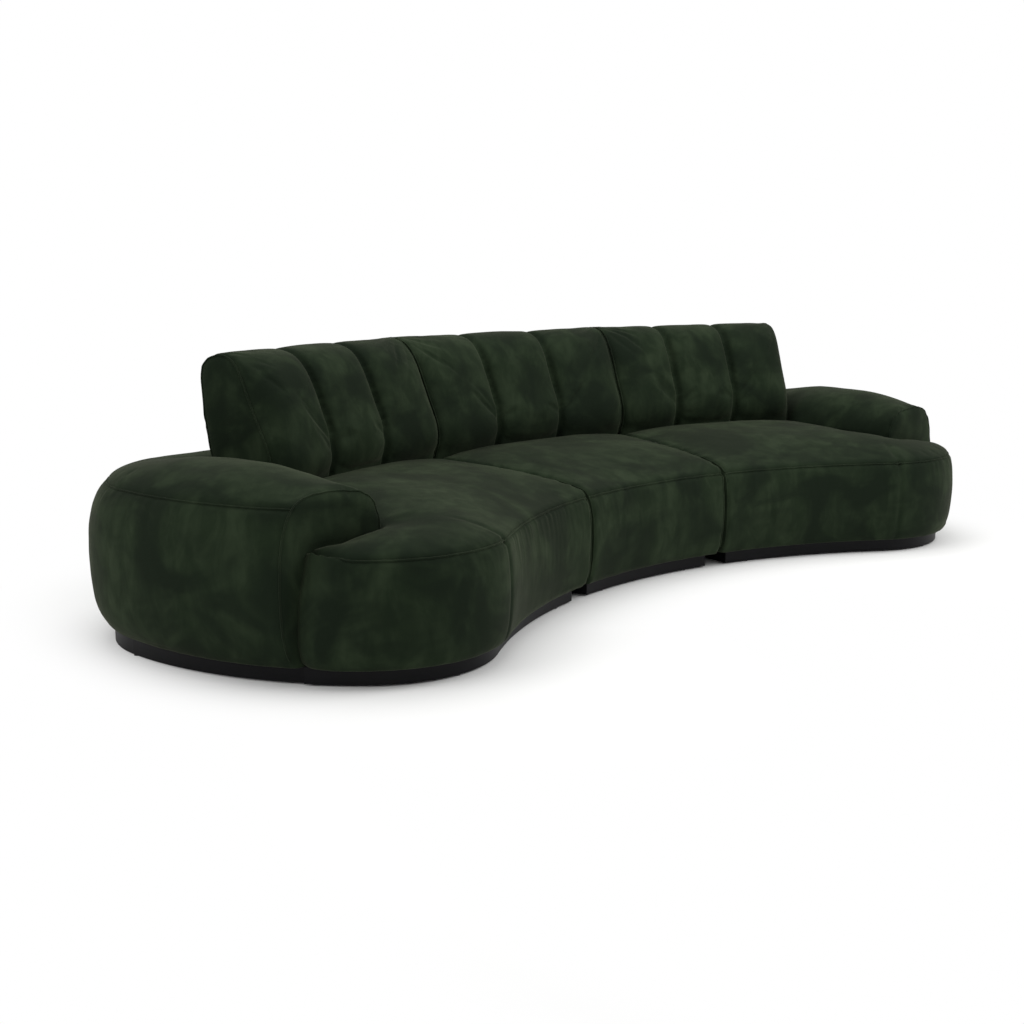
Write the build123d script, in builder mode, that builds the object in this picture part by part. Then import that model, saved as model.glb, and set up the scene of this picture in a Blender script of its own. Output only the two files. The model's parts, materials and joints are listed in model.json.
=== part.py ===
"""Curved sectional sofa: two end modules with round arms beside a wedge-shaped centre module.

Plan view: the seat front is hollow, struck from one centre in front of the sofa. Each outer end turns
round a corner and a full side into a gently curved rear. Angles are measured from +Y, positive to the
right, and the right-hand end module is drawn first and mirrored for the left.
"""

import os
from math import asin, atan2, cos, degrees, hypot, radians, sin, sqrt

from build123d import *

# Driving dimensions, in millimetres and degrees

# Plan at the fullest height of the upholstery
half_width = 1780
front_radius = 1672
module_angle = 12.0
cap_radius = 400
cap_in_from_end = 580
side_radius = 960
corner_radius = 440
rear_center_shift = 3000
back_center_shift = 1034
rear_depth = 453
back_end_gap = 6.5
arm_width = 497
arm_face_set = 133
module_gap = 6
soft_gap = 3

# Heights
glide_height = 5
plinth_top = 50
frame_height = 140
seat_full_z = 215
seat_seam_z = 336
seat_shoulder_z = 386
seat_top_z = 416
arm_full_z = 260
arm_seam_z = 462
arm_top_z = 506
back_top_z = 800

# Upholstery form
seat_tuck = 26
seat_seam_draw = 20
arm_tuck = 36
arm_seam_draw = 34
seat_wall = 60
arm_wall = 66
side_wall = 20
back_heel = 20
back_rear_low = 194
back_rear_high = 238
back_rear_mid = 214
back_heel_rise = 24
back_belly_z = 540
back_roll_z = 684
back_roll_set = 42
back_top_set = 166
back_edge_drop = 62
channels = 3
channel_lobe = 18
channel_crown = 6

# Timber, webbing and steel
rail = 28
board = 18
cross_rail = 40
mid_rail = 44
panel = 15
panel_set_back = 150
panel_end_margin = 45
panel_drop = 130
panel_top_z = 690
arm_frame_top_z = 392
strap_width = 50
strap_thickness = 2.5
straps = 5
fit_gap = 0.3
dust_sheet = 1.0

# Plinth and glides
plinth_set_back = 25
plinth_end_set_back = 45
plinth_wall = 25
batten_drop = 5
glide_radius = 10

# Module connectors and bolts
front_connector_set = 178
rear_connector_set = 126
connector_width = 66
connector_inset = 4
connector_length = 42
connector_bottom_z = 24
tongue_z = 34
tongue_thickness = 3.5
tongue_width = 41
tongue_reach = 34
slot_clearance = 0.35
screw_set_back = 35
screw_spread = 26.5
screw_radius = 2.5
screw_head_radius = 4.5
screw_head_height = 2.5
screw_bite = 22
screw_clearance = 0.05
bolt_radius = 4
bolt_head_radius = 7
bolt_head_height = 5.5
bolt_clearance = 0.05
bolt_z = 120
back_bolts = 3
arm_bolt_places = (104, 304)
arm_board_margin = 60
side_run = 440

# Plan centres, first measured from the centre of the hollow front


def polar(radius, angle):
    """Point at a radius and an angle from +Y."""
    return Vector(radius * sin(radians(angle)), radius * cos(radians(angle)))


arm_inner_x = half_width - arm_width
cap_angle = degrees(asin((half_width - cap_in_from_end) / (front_radius + cap_radius)))
cap_center = polar(front_radius + cap_radius, cap_angle)
side_center_x = half_width - side_radius
side_drop = sqrt((side_radius - cap_radius) ** 2 - (side_center_x - cap_center.X) ** 2)
side_center = Vector(side_center_x, cap_center.Y + side_drop)
corner_center = Vector(half_width - corner_radius, side_center.Y)
rear_radius = hypot(corner_center.X, corner_center.Y + rear_center_shift) + corner_radius

# The origin lies on the floor under the middle of the sofa's box, so every centre moves back by plan_y
rear_y = rear_radius - rear_center_shift
front_y = cap_center.Y - cap_radius
plan_y = -(rear_y + front_y) / 2
arm_face_y = cap_center.Y - arm_face_set
back_radius = rear_y - rear_depth + back_center_shift
back_end_angle = degrees(asin((arm_inner_x - back_end_gap) / back_radius))
plan = Vector(0, plan_y)
cap_center += plan
side_center += plan
corner_center += plan
front_center = plan
back_center = plan - Vector(0, back_center_shift)
rear_center = plan - Vector(0, rear_center_shift)
face_y = arm_face_y + plan_y

frame_top = plinth_top + frame_height
frame_arm_side = soft_gap + side_wall
arm_bearing = degrees(atan2(arm_inner_x, arm_face_y + side_run))
seat_rear_radius = back_radius + back_heel - channel_lobe / 3 - soft_gap
bolster_radius = back_radius + back_rear_mid + soft_gap
frame_rear_radius = back_radius + panel_set_back
joint_half = module_gap / 2

# Geometry helpers


def along(angle):
    """Unit vector at an angle from +Y."""
    return Vector(sin(radians(angle)), cos(radians(angle)))


def across(angle):
    """Unit vector a quarter turn to the right of along(angle)."""
    return Vector(cos(radians(angle)), -sin(radians(angle)))


def line_to_circle(start, direction, center, radius):
    """Far point where a line meets a circle."""
    w = start - center
    b = w.dot(direction)
    return start + direction * (-b + sqrt(b * b - w.dot(w) + radius * radius))


def joint_point(center, radius, inset, angle=module_angle):
    """Point of a circle on the module joint, held off the joint plane by inset."""
    return line_to_circle(front_center + across(angle) * inset, along(angle), center, radius)


# The rear connector keeps its distance from the rear rail, which stands under the backrest
frame_reach = (joint_point(back_center, frame_rear_radius, 0) - front_center).length
connector_places = (front_radius + front_connector_set, frame_reach - rear_connector_set)


def bearing(point, center):
    """Angle from +Y at which a point is seen from a centre."""
    return degrees(atan2(point.X - center.X, point.Y - center.Y))


def arc(center, radius, start, end):
    """Arc of a known centre from one point to another, by way of their mean bearing."""
    first = bearing(start, center)
    swing = (bearing(end, center) - first + 180) % 360 - 180
    return ThreePointArc(start, center + polar(radius, first + swing / 2), end)


def front_point(inset):
    """Where the hollow front turns into the round corner."""
    return front_center + polar(front_radius + inset, cap_angle)


def cap_point(inset):
    """Where the round corner turns into the full side."""
    away = (cap_center - side_center).normalized()
    return cap_center + away * (cap_radius - inset)


def side_point(inset, y):
    """Point of the full side at a given y."""
    r = side_radius - inset
    return Vector(side_center.X + sqrt(r * r - (y - side_center.Y) ** 2), y)


def rear_turn(inset):
    """Where the rear corner turns into the rear."""
    away = (corner_center - rear_center).normalized()
    return corner_center + away * (corner_radius - inset)


def back_end_line(reach, inset):
    """Point of the backrest's end plane at a radius, held off the plane by inset."""
    start = back_center + across(back_end_angle) * inset
    return start + along(back_end_angle) * sqrt(reach * reach - inset * inset)


# Plan outlines, each drawn into the line builder that is open


def center_outline(front, side, rear_middle, rear):
    """Wedge of the centre module between a front inset and a rear arc."""
    a = joint_point(front_center, front_radius + front, -joint_half - side)
    b = joint_point(rear_middle, rear, -joint_half - side)
    a_left, b_left = Vector(-a.X, a.Y), Vector(-b.X, b.Y)
    arc(front_center, front_radius + front, a_left, a)
    Line(a, b)
    arc(rear_middle, rear, b, b_left)
    Line(b_left, a_left)


def end_outline(front, side, rear, face, inner):
    """End module's seat: hollow front, round corner, nose before the arm, and the line of the arm."""
    a = joint_point(front_center, front_radius + front, joint_half + side)
    b = joint_point(back_center, rear, joint_half + side)
    arm_x = arm_inner_x - inner
    nose_y = face_y - face
    d = Vector(arm_x, back_center.Y + sqrt(rear * rear - arm_x * arm_x))
    f = Vector(arm_x, nose_y)
    g = side_point(front, nose_y)
    h = cap_point(front)
    k = front_point(front)
    Line(a, b)
    arc(back_center, rear, b, d)
    Line(d, f)
    Line(f, g)
    arc(side_center, side_radius - front, g, h)
    arc(cap_center, cap_radius - front, h, k)
    arc(front_center, front_radius + front, k, a)


def crown_outline(front, side):
    """Back part of an end seat's top, between the hollow front, the joint, the backrest and the arm."""
    a = joint_point(front_center, front_radius + front, joint_half + side)
    b = joint_point(back_center, seat_rear_radius - side, joint_half + side)
    arm_x = arm_inner_x - soft_gap - side
    rear = seat_rear_radius - side
    d = Vector(arm_x, back_center.Y + sqrt(rear * rear - arm_x * arm_x))
    turn = front_point(front)
    Line(a, b)
    arc(back_center, rear, b, d)
    Line(d, Vector(arm_x, turn.Y))
    TangentArc(turn, Vector(arm_x, turn.Y), tangent=across(cap_angle))
    arc(front_center, front_radius + front, turn, a)


def wrap_outline(outer, inner, face, side):
    """Arm that turns the rear corner and runs behind the backrest to the module joint."""
    rear = rear_radius - outer
    start = Vector(arm_inner_x + inner, face_y + face)
    g = side_point(outer, face_y + face)
    s = Vector(half_width - outer, side_center.Y)
    t = rear_turn(outer)
    u = joint_point(rear_center, rear, joint_half + side)
    v = joint_point(back_center, bolster_radius + inner, joint_half + side)
    w = back_end_line(bolster_radius + inner, soft_gap + inner)
    reach = (start.X - across(back_end_angle).X * (soft_gap + inner)) / along(back_end_angle).X
    x = back_end_line(hypot(reach, soft_gap + inner), soft_gap + inner)
    Line(start, g)
    arc(side_center, side_radius - outer, g, s)
    arc(corner_center, corner_radius - outer, s, t)
    arc(rear_center, rear, t, u)
    Line(u, v)
    arc(back_center, bolster_radius + inner, v, w)
    Line(w, x)
    Line(x, start)


def bolster_outline(outer, inner, side):
    """Rear bolster of the centre module, between the backrest and the rear."""
    rear = rear_radius - outer
    u = joint_point(rear_center, rear, -joint_half - side)
    v = joint_point(back_center, bolster_radius + inner, -joint_half - side)
    u_left, v_left = Vector(-u.X, u.Y), Vector(-v.X, v.Y)
    arc(back_center, bolster_radius + inner, v_left, v)
    Line(v, u)
    arc(rear_center, rear, u, u_left)
    Line(u_left, v_left)


# Upholstery levels: height, how far the outside draws in, how far the other sides draw in

seat_rise = seat_shoulder_z - seat_seam_z
seat_levels = (
    (plinth_top, seat_tuck, 5),
    (plinth_top + 50, seat_tuck * 0.3, 1),
    (seat_full_z, 0, 0),
    (seat_seam_z - 40, seat_seam_draw * 0.3, 0),
    (seat_seam_z, seat_seam_draw, 1),
)
shoulder_levels = (
    (seat_seam_z, seat_seam_draw, 1),
    (seat_seam_z + seat_rise * 0.42, seat_seam_draw + 14, 4),
    (seat_seam_z + seat_rise * 0.76, seat_seam_draw + 44, 10),
    (seat_shoulder_z, seat_seam_draw + 96, 22),
)
crown_rise = seat_top_z - seat_shoulder_z
crown_levels = (
    (seat_shoulder_z - 6, seat_seam_draw + 76, 16),
    (seat_shoulder_z + crown_rise * 0.6, seat_seam_draw + 150, 40),
    (seat_top_z, seat_seam_draw + 230, 80),
)
arm_rise = arm_top_z - arm_seam_z
arm_levels = (
    (plinth_top, arm_tuck, 2),
    (plinth_top + 60, arm_tuck * 0.35, 0),
    (arm_full_z, 0, 0),
    (arm_seam_z - 70, arm_seam_draw * 0.3, 2),
    (arm_seam_z, arm_seam_draw, 22),
    (arm_seam_z + arm_rise * 0.65, arm_seam_draw + 22, 44),
    (arm_top_z, arm_seam_draw + 50, 74),
)

# Export


def keep(part, name):
    """Labels a finished piece and writes it as one STEP file."""
    part.label = name
    export_step(part, f"parts/{name}.step")


def keep_pair(part, name):
    """Writes a right-hand piece and its mirror image for the left."""
    keep(mirror(part, about=Plane.YZ), f"{name}_left")
    keep(part, f"{name}_right")


# Fixings shared by several pieces

bolt_seat_x = arm_inner_x - frame_arm_side - rail
bolt_arm_x = arm_inner_x + side_wall + board


def arm_bolt_bores(radius):
    """Bores through which the arm is bolted sideways to the seat frame, cut from the open part."""
    length = bolt_arm_x - bolt_seat_x + 2
    for place in arm_bolt_places:
        with Locations(Location(((bolt_seat_x + bolt_arm_x) / 2, face_y + place, bolt_z), (0, 90, 0))):
            Cylinder(radius, length, mode=Mode.SUBTRACT)


def back_bolt_bearings(start, end):
    """Bearings of the bolts through a back panel, seen from the backrest's centre."""
    return [start + (end - start) * (0.2 + 0.6 * i / (back_bolts - 1)) for i in range(back_bolts)]


def back_bolt_bores(start, end, radius):
    """Bores through the frame's rear rail and the back panel, cut from the open part."""
    for angle in back_bolt_bearings(start, end):
        middle = back_center + polar(frame_rear_radius, angle)
        with Locations(Location((middle.X, middle.Y, bolt_z), (90, -angle, 0))):
            Cylinder(radius, 2 * (rail + panel), mode=Mode.SUBTRACT)


def connector_spot(place, off, shift):
    """Point beside the module joint: off to its right, shifted along it."""
    return front_center + along(module_angle) * (place + shift) + across(module_angle) * off


def screw_spots(off):
    """Screw places of both connectors on one side of the right-hand joint."""
    return [connector_spot(p, off, d) for p in connector_places for d in (-screw_spread, screw_spread)]


def screw_bores(spots, radius):
    """Upright screw holes, cut from the open part."""
    reach = max(screw_bite, plinth_top - connector_bottom_z) + 1
    for spot in spots:
        with Locations((spot.X, spot.Y, plinth_top)):
            Cylinder(radius, 2 * reach, mode=Mode.SUBTRACT)


os.makedirs("parts", exist_ok=True)

# Seats

seat_cavity_top = frame_top + strap_thickness + fit_gap

with BuildPart() as seat_center:
    for levels in (seat_levels, shoulder_levels, crown_levels):
        for z, front, side in levels:
            with BuildSketch(Plane.XY.offset(z)):
                with BuildLine():
                    center_outline(front, side, back_center, seat_rear_radius - side)
                make_face()
        loft()
    with BuildSketch(Plane.XY.offset(plinth_top)):
        with BuildLine():
            center_outline(seat_wall - fit_gap, side_wall - fit_gap, back_center, frame_rear_radius)
        make_face()
    extrude(amount=seat_cavity_top - plinth_top, mode=Mode.SUBTRACT)
keep(seat_center.part, "seat_center")

with BuildPart() as seat_end:
    for levels in (seat_levels, shoulder_levels):
        for z, front, side in levels:
            with BuildSketch(Plane.XY.offset(z)):
                with BuildLine():
                    end_outline(front, side, seat_rear_radius - side, soft_gap + side, soft_gap + side)
                make_face()
        loft()
    for z, front, side in crown_levels:
        with BuildSketch(Plane.XY.offset(z)):
            with BuildLine():
                crown_outline(front, side)
            make_face()
    loft()
    with BuildSketch(Plane.XY.offset(plinth_top)):
        with BuildLine():
            wall = side_wall - fit_gap
            end_outline(seat_wall - fit_gap, wall, frame_rear_radius, soft_gap + wall, soft_gap + wall)
        make_face()
    extrude(amount=seat_cavity_top - plinth_top, mode=Mode.SUBTRACT)
    arm_bolt_bores(bolt_radius + bolt_clearance)
keep_pair(seat_end.part, "seat")

# Backrests


def back_profile(lobe, crown):
    """Side view of the backrest: upright heel, full belly, reclined front and rolled top."""
    heel_z = seat_top_z + back_heel_rise
    roll = (back_roll_set - lobe, back_roll_z)
    top = (back_top_set, back_top_z + crown)
    edge = (back_rear_high, back_top_z - back_edge_drop)
    Line((back_rear_low, frame_top), (back_heel, frame_top))
    Line((back_heel, frame_top), (back_heel - lobe / 3, heel_z))
    belly = ThreePointArc((back_heel - lobe / 3, heel_z), (-lobe, back_belly_z), roll)
    rolled = TangentArc(roll, top, tangent=belly % 1)
    TangentArc(top, edge, tangent=rolled % 1)
    Line(edge, (back_rear_low, frame_top))


def back_plane(angle, turn, inset=0.0):
    """Upright plane across the backrest at a bearing from its centre, facing along turn."""
    origin = back_center + polar(back_radius, angle) + across(turn) * inset
    out = along(turn)
    right = across(turn)
    return Plane(origin=(origin.X, origin.Y, 0), x_dir=(out.X, out.Y, 0), z_dir=(right.X, right.Y, 0))


joint_bearing = bearing(joint_point(back_center, back_radius, 0), back_center)


def channelled_back(start, end, start_turn, end_turn, start_inset, end_inset):
    """Backrest whose channels are lofts that meet at the sewn lines between them."""
    with BuildPart() as back:
        for channel in range(channels):
            for step, lobe, crown in ((0, 0, 0), (0.5, channel_lobe, channel_crown), (1, 0, 0)):
                share = (channel + step) / channels
                inset = start_inset * (1 - share) + end_inset * share
                plane = back_plane(
                    start + (end - start) * share, start_turn + (end_turn - start_turn) * share, inset
                )
                with BuildSketch(plane):
                    with BuildLine():
                        back_profile(lobe, crown)
                    make_face()
            loft()
    return back.part


def back_panel(start, end, grow=0.0):
    """Curved plywood panel in the backrest, from below the frame's top up to the backrest's head."""
    low = frame_rear_radius - grow
    high = frame_rear_radius + panel + grow
    margin = degrees((panel_end_margin - grow) / frame_rear_radius)
    a, b = start + margin, end - margin
    with BuildPart() as made:
        with BuildSketch(Plane.XY.offset(frame_top - panel_drop)):
            with BuildLine():
                p, q = (back_center + polar(low, angle) for angle in (a, b))
                r, s = (back_center + polar(high, angle) for angle in (b, a))
                arc(back_center, low, p, q)
                Line(q, r)
                arc(back_center, high, r, s)
                Line(s, p)
            make_face()
        extrude(amount=panel_top_z + grow - frame_top + panel_drop)
    return made.part


center_back = channelled_back(
    -joint_bearing, joint_bearing, -module_angle, module_angle, joint_half, -joint_half
)
end_back = channelled_back(joint_bearing, back_end_angle, module_angle, back_end_angle, joint_half, 0)
spans = {
    "center": (-joint_bearing, joint_bearing, center_back),
    "end": (joint_bearing, back_end_angle, end_back),
}
backs = {}
for name, (start, end, solid) in spans.items():
    with BuildPart() as back_cover:
        add(solid)
        add(back_panel(start, end, fit_gap), mode=Mode.SUBTRACT)
    backs[name] = back_cover.part
keep(backs["center"], "back_center")
keep_pair(backs["end"], "back")

# Arms and rear bolster

with BuildPart() as arm:
    for z, outer, inner in arm_levels:
        with BuildSketch(Plane.XY.offset(z)):
            with BuildLine():
                wrap_outline(outer, inner, 0, 0)
            make_face()
    loft()
    with BuildSketch(Plane.XY.offset(plinth_top)):
        with BuildLine():
            wrap_outline(arm_wall - fit_gap, side_wall - fit_gap, side_wall - fit_gap, side_wall - fit_gap)
        make_face()
    extrude(amount=arm_frame_top_z + fit_gap - plinth_top, mode=Mode.SUBTRACT)
    arm_bolt_bores(bolt_radius + bolt_clearance)
keep_pair(arm.part, "arm")

with BuildPart() as rear_bolster:
    for z, outer, inner in arm_levels:
        with BuildSketch(Plane.XY.offset(z)):
            with BuildLine():
                bolster_outline(outer, inner, 0)
            make_face()
    loft()
    with BuildSketch(Plane.XY.offset(plinth_top)):
        with BuildLine():
            bolster_outline(arm_wall - fit_gap, side_wall - fit_gap, side_wall - fit_gap)
        make_face()
    extrude(amount=arm_frame_top_z + fit_gap - plinth_top, mode=Mode.SUBTRACT)
keep(rear_bolster.part, "rear_bolster")

# Plywood back panels and their bolts

for name, (start, end, solid) in spans.items():
    with BuildPart() as plywood:
        add(back_panel(start, end))
        back_bolt_bores(start, end, bolt_radius + bolt_clearance)
    with BuildPart() as bolts:
        for angle in back_bolt_bearings(start, end):
            for low, high, radius in (
                (-rail - bolt_head_height, panel + bolt_head_height, bolt_radius),
                (-rail - bolt_head_height, -rail - bolt_clearance, bolt_head_radius),
                (panel + bolt_clearance, panel + bolt_head_height, bolt_head_radius),
            ):
                reach = frame_rear_radius + (low + high) / 2
                spot = back_center + polar(reach, angle)
                with Locations(Location((spot.X, spot.Y, bolt_z), (90, -angle, 0))):
                    Cylinder(radius, high - low)
    if name == "center":
        keep(plywood.part, "back_panel_center")
        keep(bolts.part, "back_bolts_center")
    else:
        keep_pair(plywood.part, "back_panel")
        keep_pair(bolts.part, "back_bolts")

# Timber seat frames: a ring of rails, a rail under the backrest's heel, and cross rails


def center_frame_outline(grow=0.0):
    """Outer line of the centre module's timber frame."""
    center_outline(seat_wall - grow, side_wall - grow, back_center, frame_rear_radius + grow)


def end_frame_outline(grow=0.0):
    """Outer line of an end module's timber frame."""
    arm_side = frame_arm_side - grow
    end_outline(seat_wall - grow, side_wall - grow, frame_rear_radius + grow, arm_side, arm_side)


def timber_frame(outline, cross_angles):
    """Frame of rails inside a plan outline."""
    with BuildPart() as made:
        with BuildSketch(Plane.XY.offset(plinth_top)):
            with BuildLine():
                outline()
            make_face()
            offset(amount=-rail, mode=Mode.SUBTRACT)
        extrude(amount=frame_height)
        with BuildSketch(Plane.XY.offset(plinth_top)):
            with BuildLine():
                outline()
            make_face()
            with Locations((back_center.X, back_center.Y)):
                Circle(back_radius + mid_rail, mode=Mode.INTERSECT)
                Circle(back_radius, mode=Mode.SUBTRACT)
        extrude(amount=frame_height)
        for angle in cross_angles:
            with BuildSketch(Plane.XY.offset(plinth_top)):
                with BuildLine():
                    outline()
                make_face()
                middle = front_center + polar(2 * front_radius, angle)
                with Locations((middle.X, middle.Y)):
                    Rectangle(cross_rail, 4 * front_radius, rotation=-angle, mode=Mode.INTERSECT)
            extrude(amount=frame_height)
    return made.part


def spread(start, end, count):
    """Evenly spaced angles strictly between two bounds."""
    return [start + (end - start) * (i + 1) / (count + 1) for i in range(count)]


with BuildPart() as frame_center:
    add(timber_frame(center_frame_outline, spread(-module_angle, module_angle, 2)))
    back_bolt_bores(-joint_bearing, joint_bearing, bolt_radius + bolt_clearance)
    right_spots = screw_spots(-screw_set_back)
    screw_bores(right_spots + [Vector(-p.X, p.Y) for p in right_spots], screw_radius + screw_clearance)
keep(frame_center.part, "frame_center")

with BuildPart() as frame_end:
    add(timber_frame(end_frame_outline, spread(module_angle, arm_bearing, 2)))
    back_bolt_bores(joint_bearing, back_end_angle, bolt_radius + bolt_clearance)
    arm_bolt_bores(bolt_radius + bolt_clearance)
    screw_bores(screw_spots(screw_set_back), screw_radius + screw_clearance)
keep_pair(frame_end.part, "frame")

with BuildPart() as arm_bolts:
    for place in arm_bolt_places:
        for low, high, radius in (
            (bolt_seat_x - bolt_head_height, bolt_arm_x + bolt_head_height, bolt_radius),
            (bolt_seat_x - bolt_head_height, bolt_seat_x, bolt_head_radius),
            (bolt_arm_x, bolt_arm_x + bolt_head_height, bolt_head_radius),
        ):
            with Locations(Location(((low + high) / 2, face_y + place, bolt_z), (0, 90, 0))):
                Cylinder(radius, high - low)
keep_pair(arm_bolts.part, "arm_bolts")

# Elastic webbing over the frames


def webbing(outline, angles):
    """Straps from the front rail to the rail under the backrest."""
    with BuildPart() as made:
        for angle in angles:
            with BuildSketch(Plane.XY.offset(frame_top)):
                with BuildLine():
                    outline(-4)
                make_face()
                with Locations((back_center.X, back_center.Y)):
                    Circle(back_radius + back_heel - channel_lobe / 3 - soft_gap, mode=Mode.INTERSECT)
                middle = front_center + polar(2 * front_radius, angle)
                with Locations((middle.X, middle.Y)):
                    Rectangle(strap_width, 4 * front_radius, rotation=-angle, mode=Mode.INTERSECT)
            extrude(amount=strap_thickness)
    return made.part


keep(webbing(center_frame_outline, spread(-module_angle, module_angle, straps)), "webbing_center")
keep_pair(webbing(end_frame_outline, spread(module_angle, arm_bearing, straps)), "webbing")

# Arm and bolster frames: two plates, upright ribs and the board the arm bolts through


def box_frame(outline, ribs):
    """Plates joined by ribs inside a plan outline; a rib is its middle, its turn and its length."""
    with BuildPart() as made:
        for z in (plinth_top, arm_frame_top_z - board):
            with BuildSketch(Plane.XY.offset(z)):
                with BuildLine():
                    outline()
                make_face()
            extrude(amount=board)
        for middle, turn, length in ribs:
            with BuildSketch(Plane.XY.offset(plinth_top)):
                with BuildLine():
                    outline()
                make_face()
                with Locations((middle.X, middle.Y)):
                    Rectangle(board, length, rotation=-turn, mode=Mode.INTERSECT)
            extrude(amount=arm_frame_top_z - plinth_top)
    return made.part


def arm_frame_outline():
    """Outer line of the frame in an arm."""
    wrap_outline(arm_wall, side_wall, side_wall, side_wall)


def bolster_frame_outline():
    """Outer line of the frame in the rear bolster."""
    bolster_outline(arm_wall, side_wall, side_wall)


arm_middle_x = (arm_inner_x + half_width) / 2
inner_board_length = arm_bolt_places[1] - arm_bolt_places[0] + 2 * arm_board_margin
inner_board_y = face_y + (arm_bolt_places[0] + arm_bolt_places[1]) / 2
back_corner = back_end_line(bolster_radius, soft_gap)
corner_turn = (back_end_angle + 90) / 2
rear_ribs = [
    (back_center + polar(bolster_radius + 100, angle), angle, 400)
    for angle in spread(joint_bearing, back_end_angle, 2)
]
arm_ribs = [
    (Vector(arm_middle_x, face_y + side_wall + board / 2), 90, half_width),
    (Vector(arm_inner_x + side_wall + board / 2, inner_board_y), 0, inner_board_length),
    (Vector(arm_middle_x, side_center.Y - 60), 90, 500),
    (back_corner + along(corner_turn) * 200, corner_turn, 480),
] + rear_ribs
bolster_ribs = [
    (back_center + polar(bolster_radius + 100, angle), angle, 400)
    for angle in (-joint_bearing * 0.6, 0, joint_bearing * 0.6)
]
with BuildPart() as arm_frame:
    add(box_frame(arm_frame_outline, arm_ribs))
    arm_bolt_bores(bolt_radius + bolt_clearance)
keep_pair(arm_frame.part, "arm_frame")
keep(box_frame(bolster_frame_outline, bolster_ribs), "bolster_frame")

# Plinths: rings of board on edge with lower battens across


def plinth(outline, battens):
    """Plinth ring and its battens; a batten is its middle and its turn."""
    with BuildPart() as made:
        with BuildSketch(Plane.XY.offset(glide_height)):
            with BuildLine():
                outline()
            make_face()
            offset(amount=-plinth_wall, mode=Mode.SUBTRACT)
        extrude(amount=plinth_top - glide_height)
        for middle, turn, length in battens:
            with BuildSketch(Plane.XY.offset(glide_height)):
                with BuildLine():
                    outline()
                make_face()
                with Locations((middle.X, middle.Y)):
                    Rectangle(plinth_wall, length, rotation=-turn, mode=Mode.INTERSECT)
            extrude(amount=plinth_top - glide_height - batten_drop)
    return made.part


plinth_front = seat_tuck + plinth_set_back
plinth_outer = arm_tuck + plinth_set_back


def center_plinth_outline(inset=0.0):
    """Outer line of the centre module's plinth."""
    rear = rear_radius - plinth_outer - inset
    center_outline(plinth_front + inset, plinth_end_set_back + inset, rear_center, rear)


def end_plinth_outline(inset=0.0):
    """Outer line of the plinth under an end seat."""
    side = soft_gap + inset
    end_outline(plinth_front + inset, plinth_end_set_back + inset, bolster_radius - side, side, side)


def arm_plinth_outline(inset=0.0):
    """Outer line of the plinth under an arm."""
    wrap_outline(plinth_outer + inset, inset, inset, plinth_end_set_back + inset)


def radial_battens(angles):
    """Battens that point at the centre of the hollow front."""
    return [(front_center + polar(2 * front_radius, angle), angle, 4 * front_radius) for angle in angles]


keep(plinth(center_plinth_outline, radial_battens(spread(-module_angle, module_angle, 2))), "plinth_center")
keep_pair(
    plinth(end_plinth_outline, radial_battens(spread(module_angle, arm_bearing, 2))), "plinth_seat"
)
arm_battens = [(back_corner + along(corner_turn) * 200, corner_turn, 480)]
keep_pair(plinth(arm_plinth_outline, arm_battens), "plinth_arm")

# Dust covers under the frames, inside the plinth rings

for name, outline in (("center", center_plinth_outline), ("end", end_plinth_outline)):
    with BuildPart() as dust_cover:
        with BuildSketch(Plane.XY.offset(plinth_top - dust_sheet)):
            with BuildLine():
                outline(plinth_wall + fit_gap)
            make_face()
        extrude(amount=dust_sheet)
    if name == "center":
        keep(dust_cover.part, "dust_cover_center")
    else:
        keep_pair(dust_cover.part, "dust_cover")

# Glides under the middle of the plinth boards

half_wall = plinth_wall / 2
front_glide = front_radius + plinth_front + half_wall
rear_glide = rear_radius - plinth_outer - half_wall
center_glides = [
    front_center + polar(front_glide, -module_angle * 0.6),
    front_center + polar(front_glide, module_angle * 0.6),
    rear_center + polar(rear_glide, -module_angle * 0.32),
    rear_center + polar(rear_glide, module_angle * 0.32),
]
end_glides = [
    front_center + polar(front_glide, module_angle * 1.4),
    cap_center + polar(cap_radius - plinth_front - half_wall, 180),
    Vector(half_width - plinth_outer - half_wall, side_center.Y),
    corner_center + polar(corner_radius - plinth_outer - half_wall, 45),
    rear_center + polar(rear_glide, module_angle * 0.7),
    Vector(arm_inner_x + half_wall, face_y + side_wall + 2 * board),
]
for name, spots in (("center", center_glides), ("end", end_glides)):
    with BuildPart() as glides:
        with Locations([(p.X, p.Y, glide_height / 2) for p in spots]):
            Cylinder(glide_radius, glide_height)
    if name == "center":
        keep(glides.part, "glides_center")
    else:
        keep_pair(glides.part, "glides")

# Module connectors: a catch under the centre module takes a tongue from each end module

turned = -module_angle
with BuildPart() as clips:
    for place in connector_places:
        block = connector_spot(place, -connector_inset - connector_length / 2, 0)
        slot_length = tongue_reach + connector_inset
        slot = connector_spot(place, -slot_length / 2, 0)
        height = plinth_top - connector_bottom_z
        with Locations(Location((block.X, block.Y, connector_bottom_z + height / 2), (0, 0, turned))):
            Box(connector_length, connector_width, height)
        slot_middle = tongue_z + tongue_thickness / 2
        with Locations(Location((slot.X, slot.Y, slot_middle), (0, 0, turned))):
            Box(
                slot_length,
                tongue_width + 2 * slot_clearance,
                tongue_thickness + 2 * slot_clearance,
                mode=Mode.SUBTRACT,
            )
    screw_bores(screw_spots(-screw_set_back), screw_radius + screw_clearance)
keep_pair(clips.part, "clips")

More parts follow.
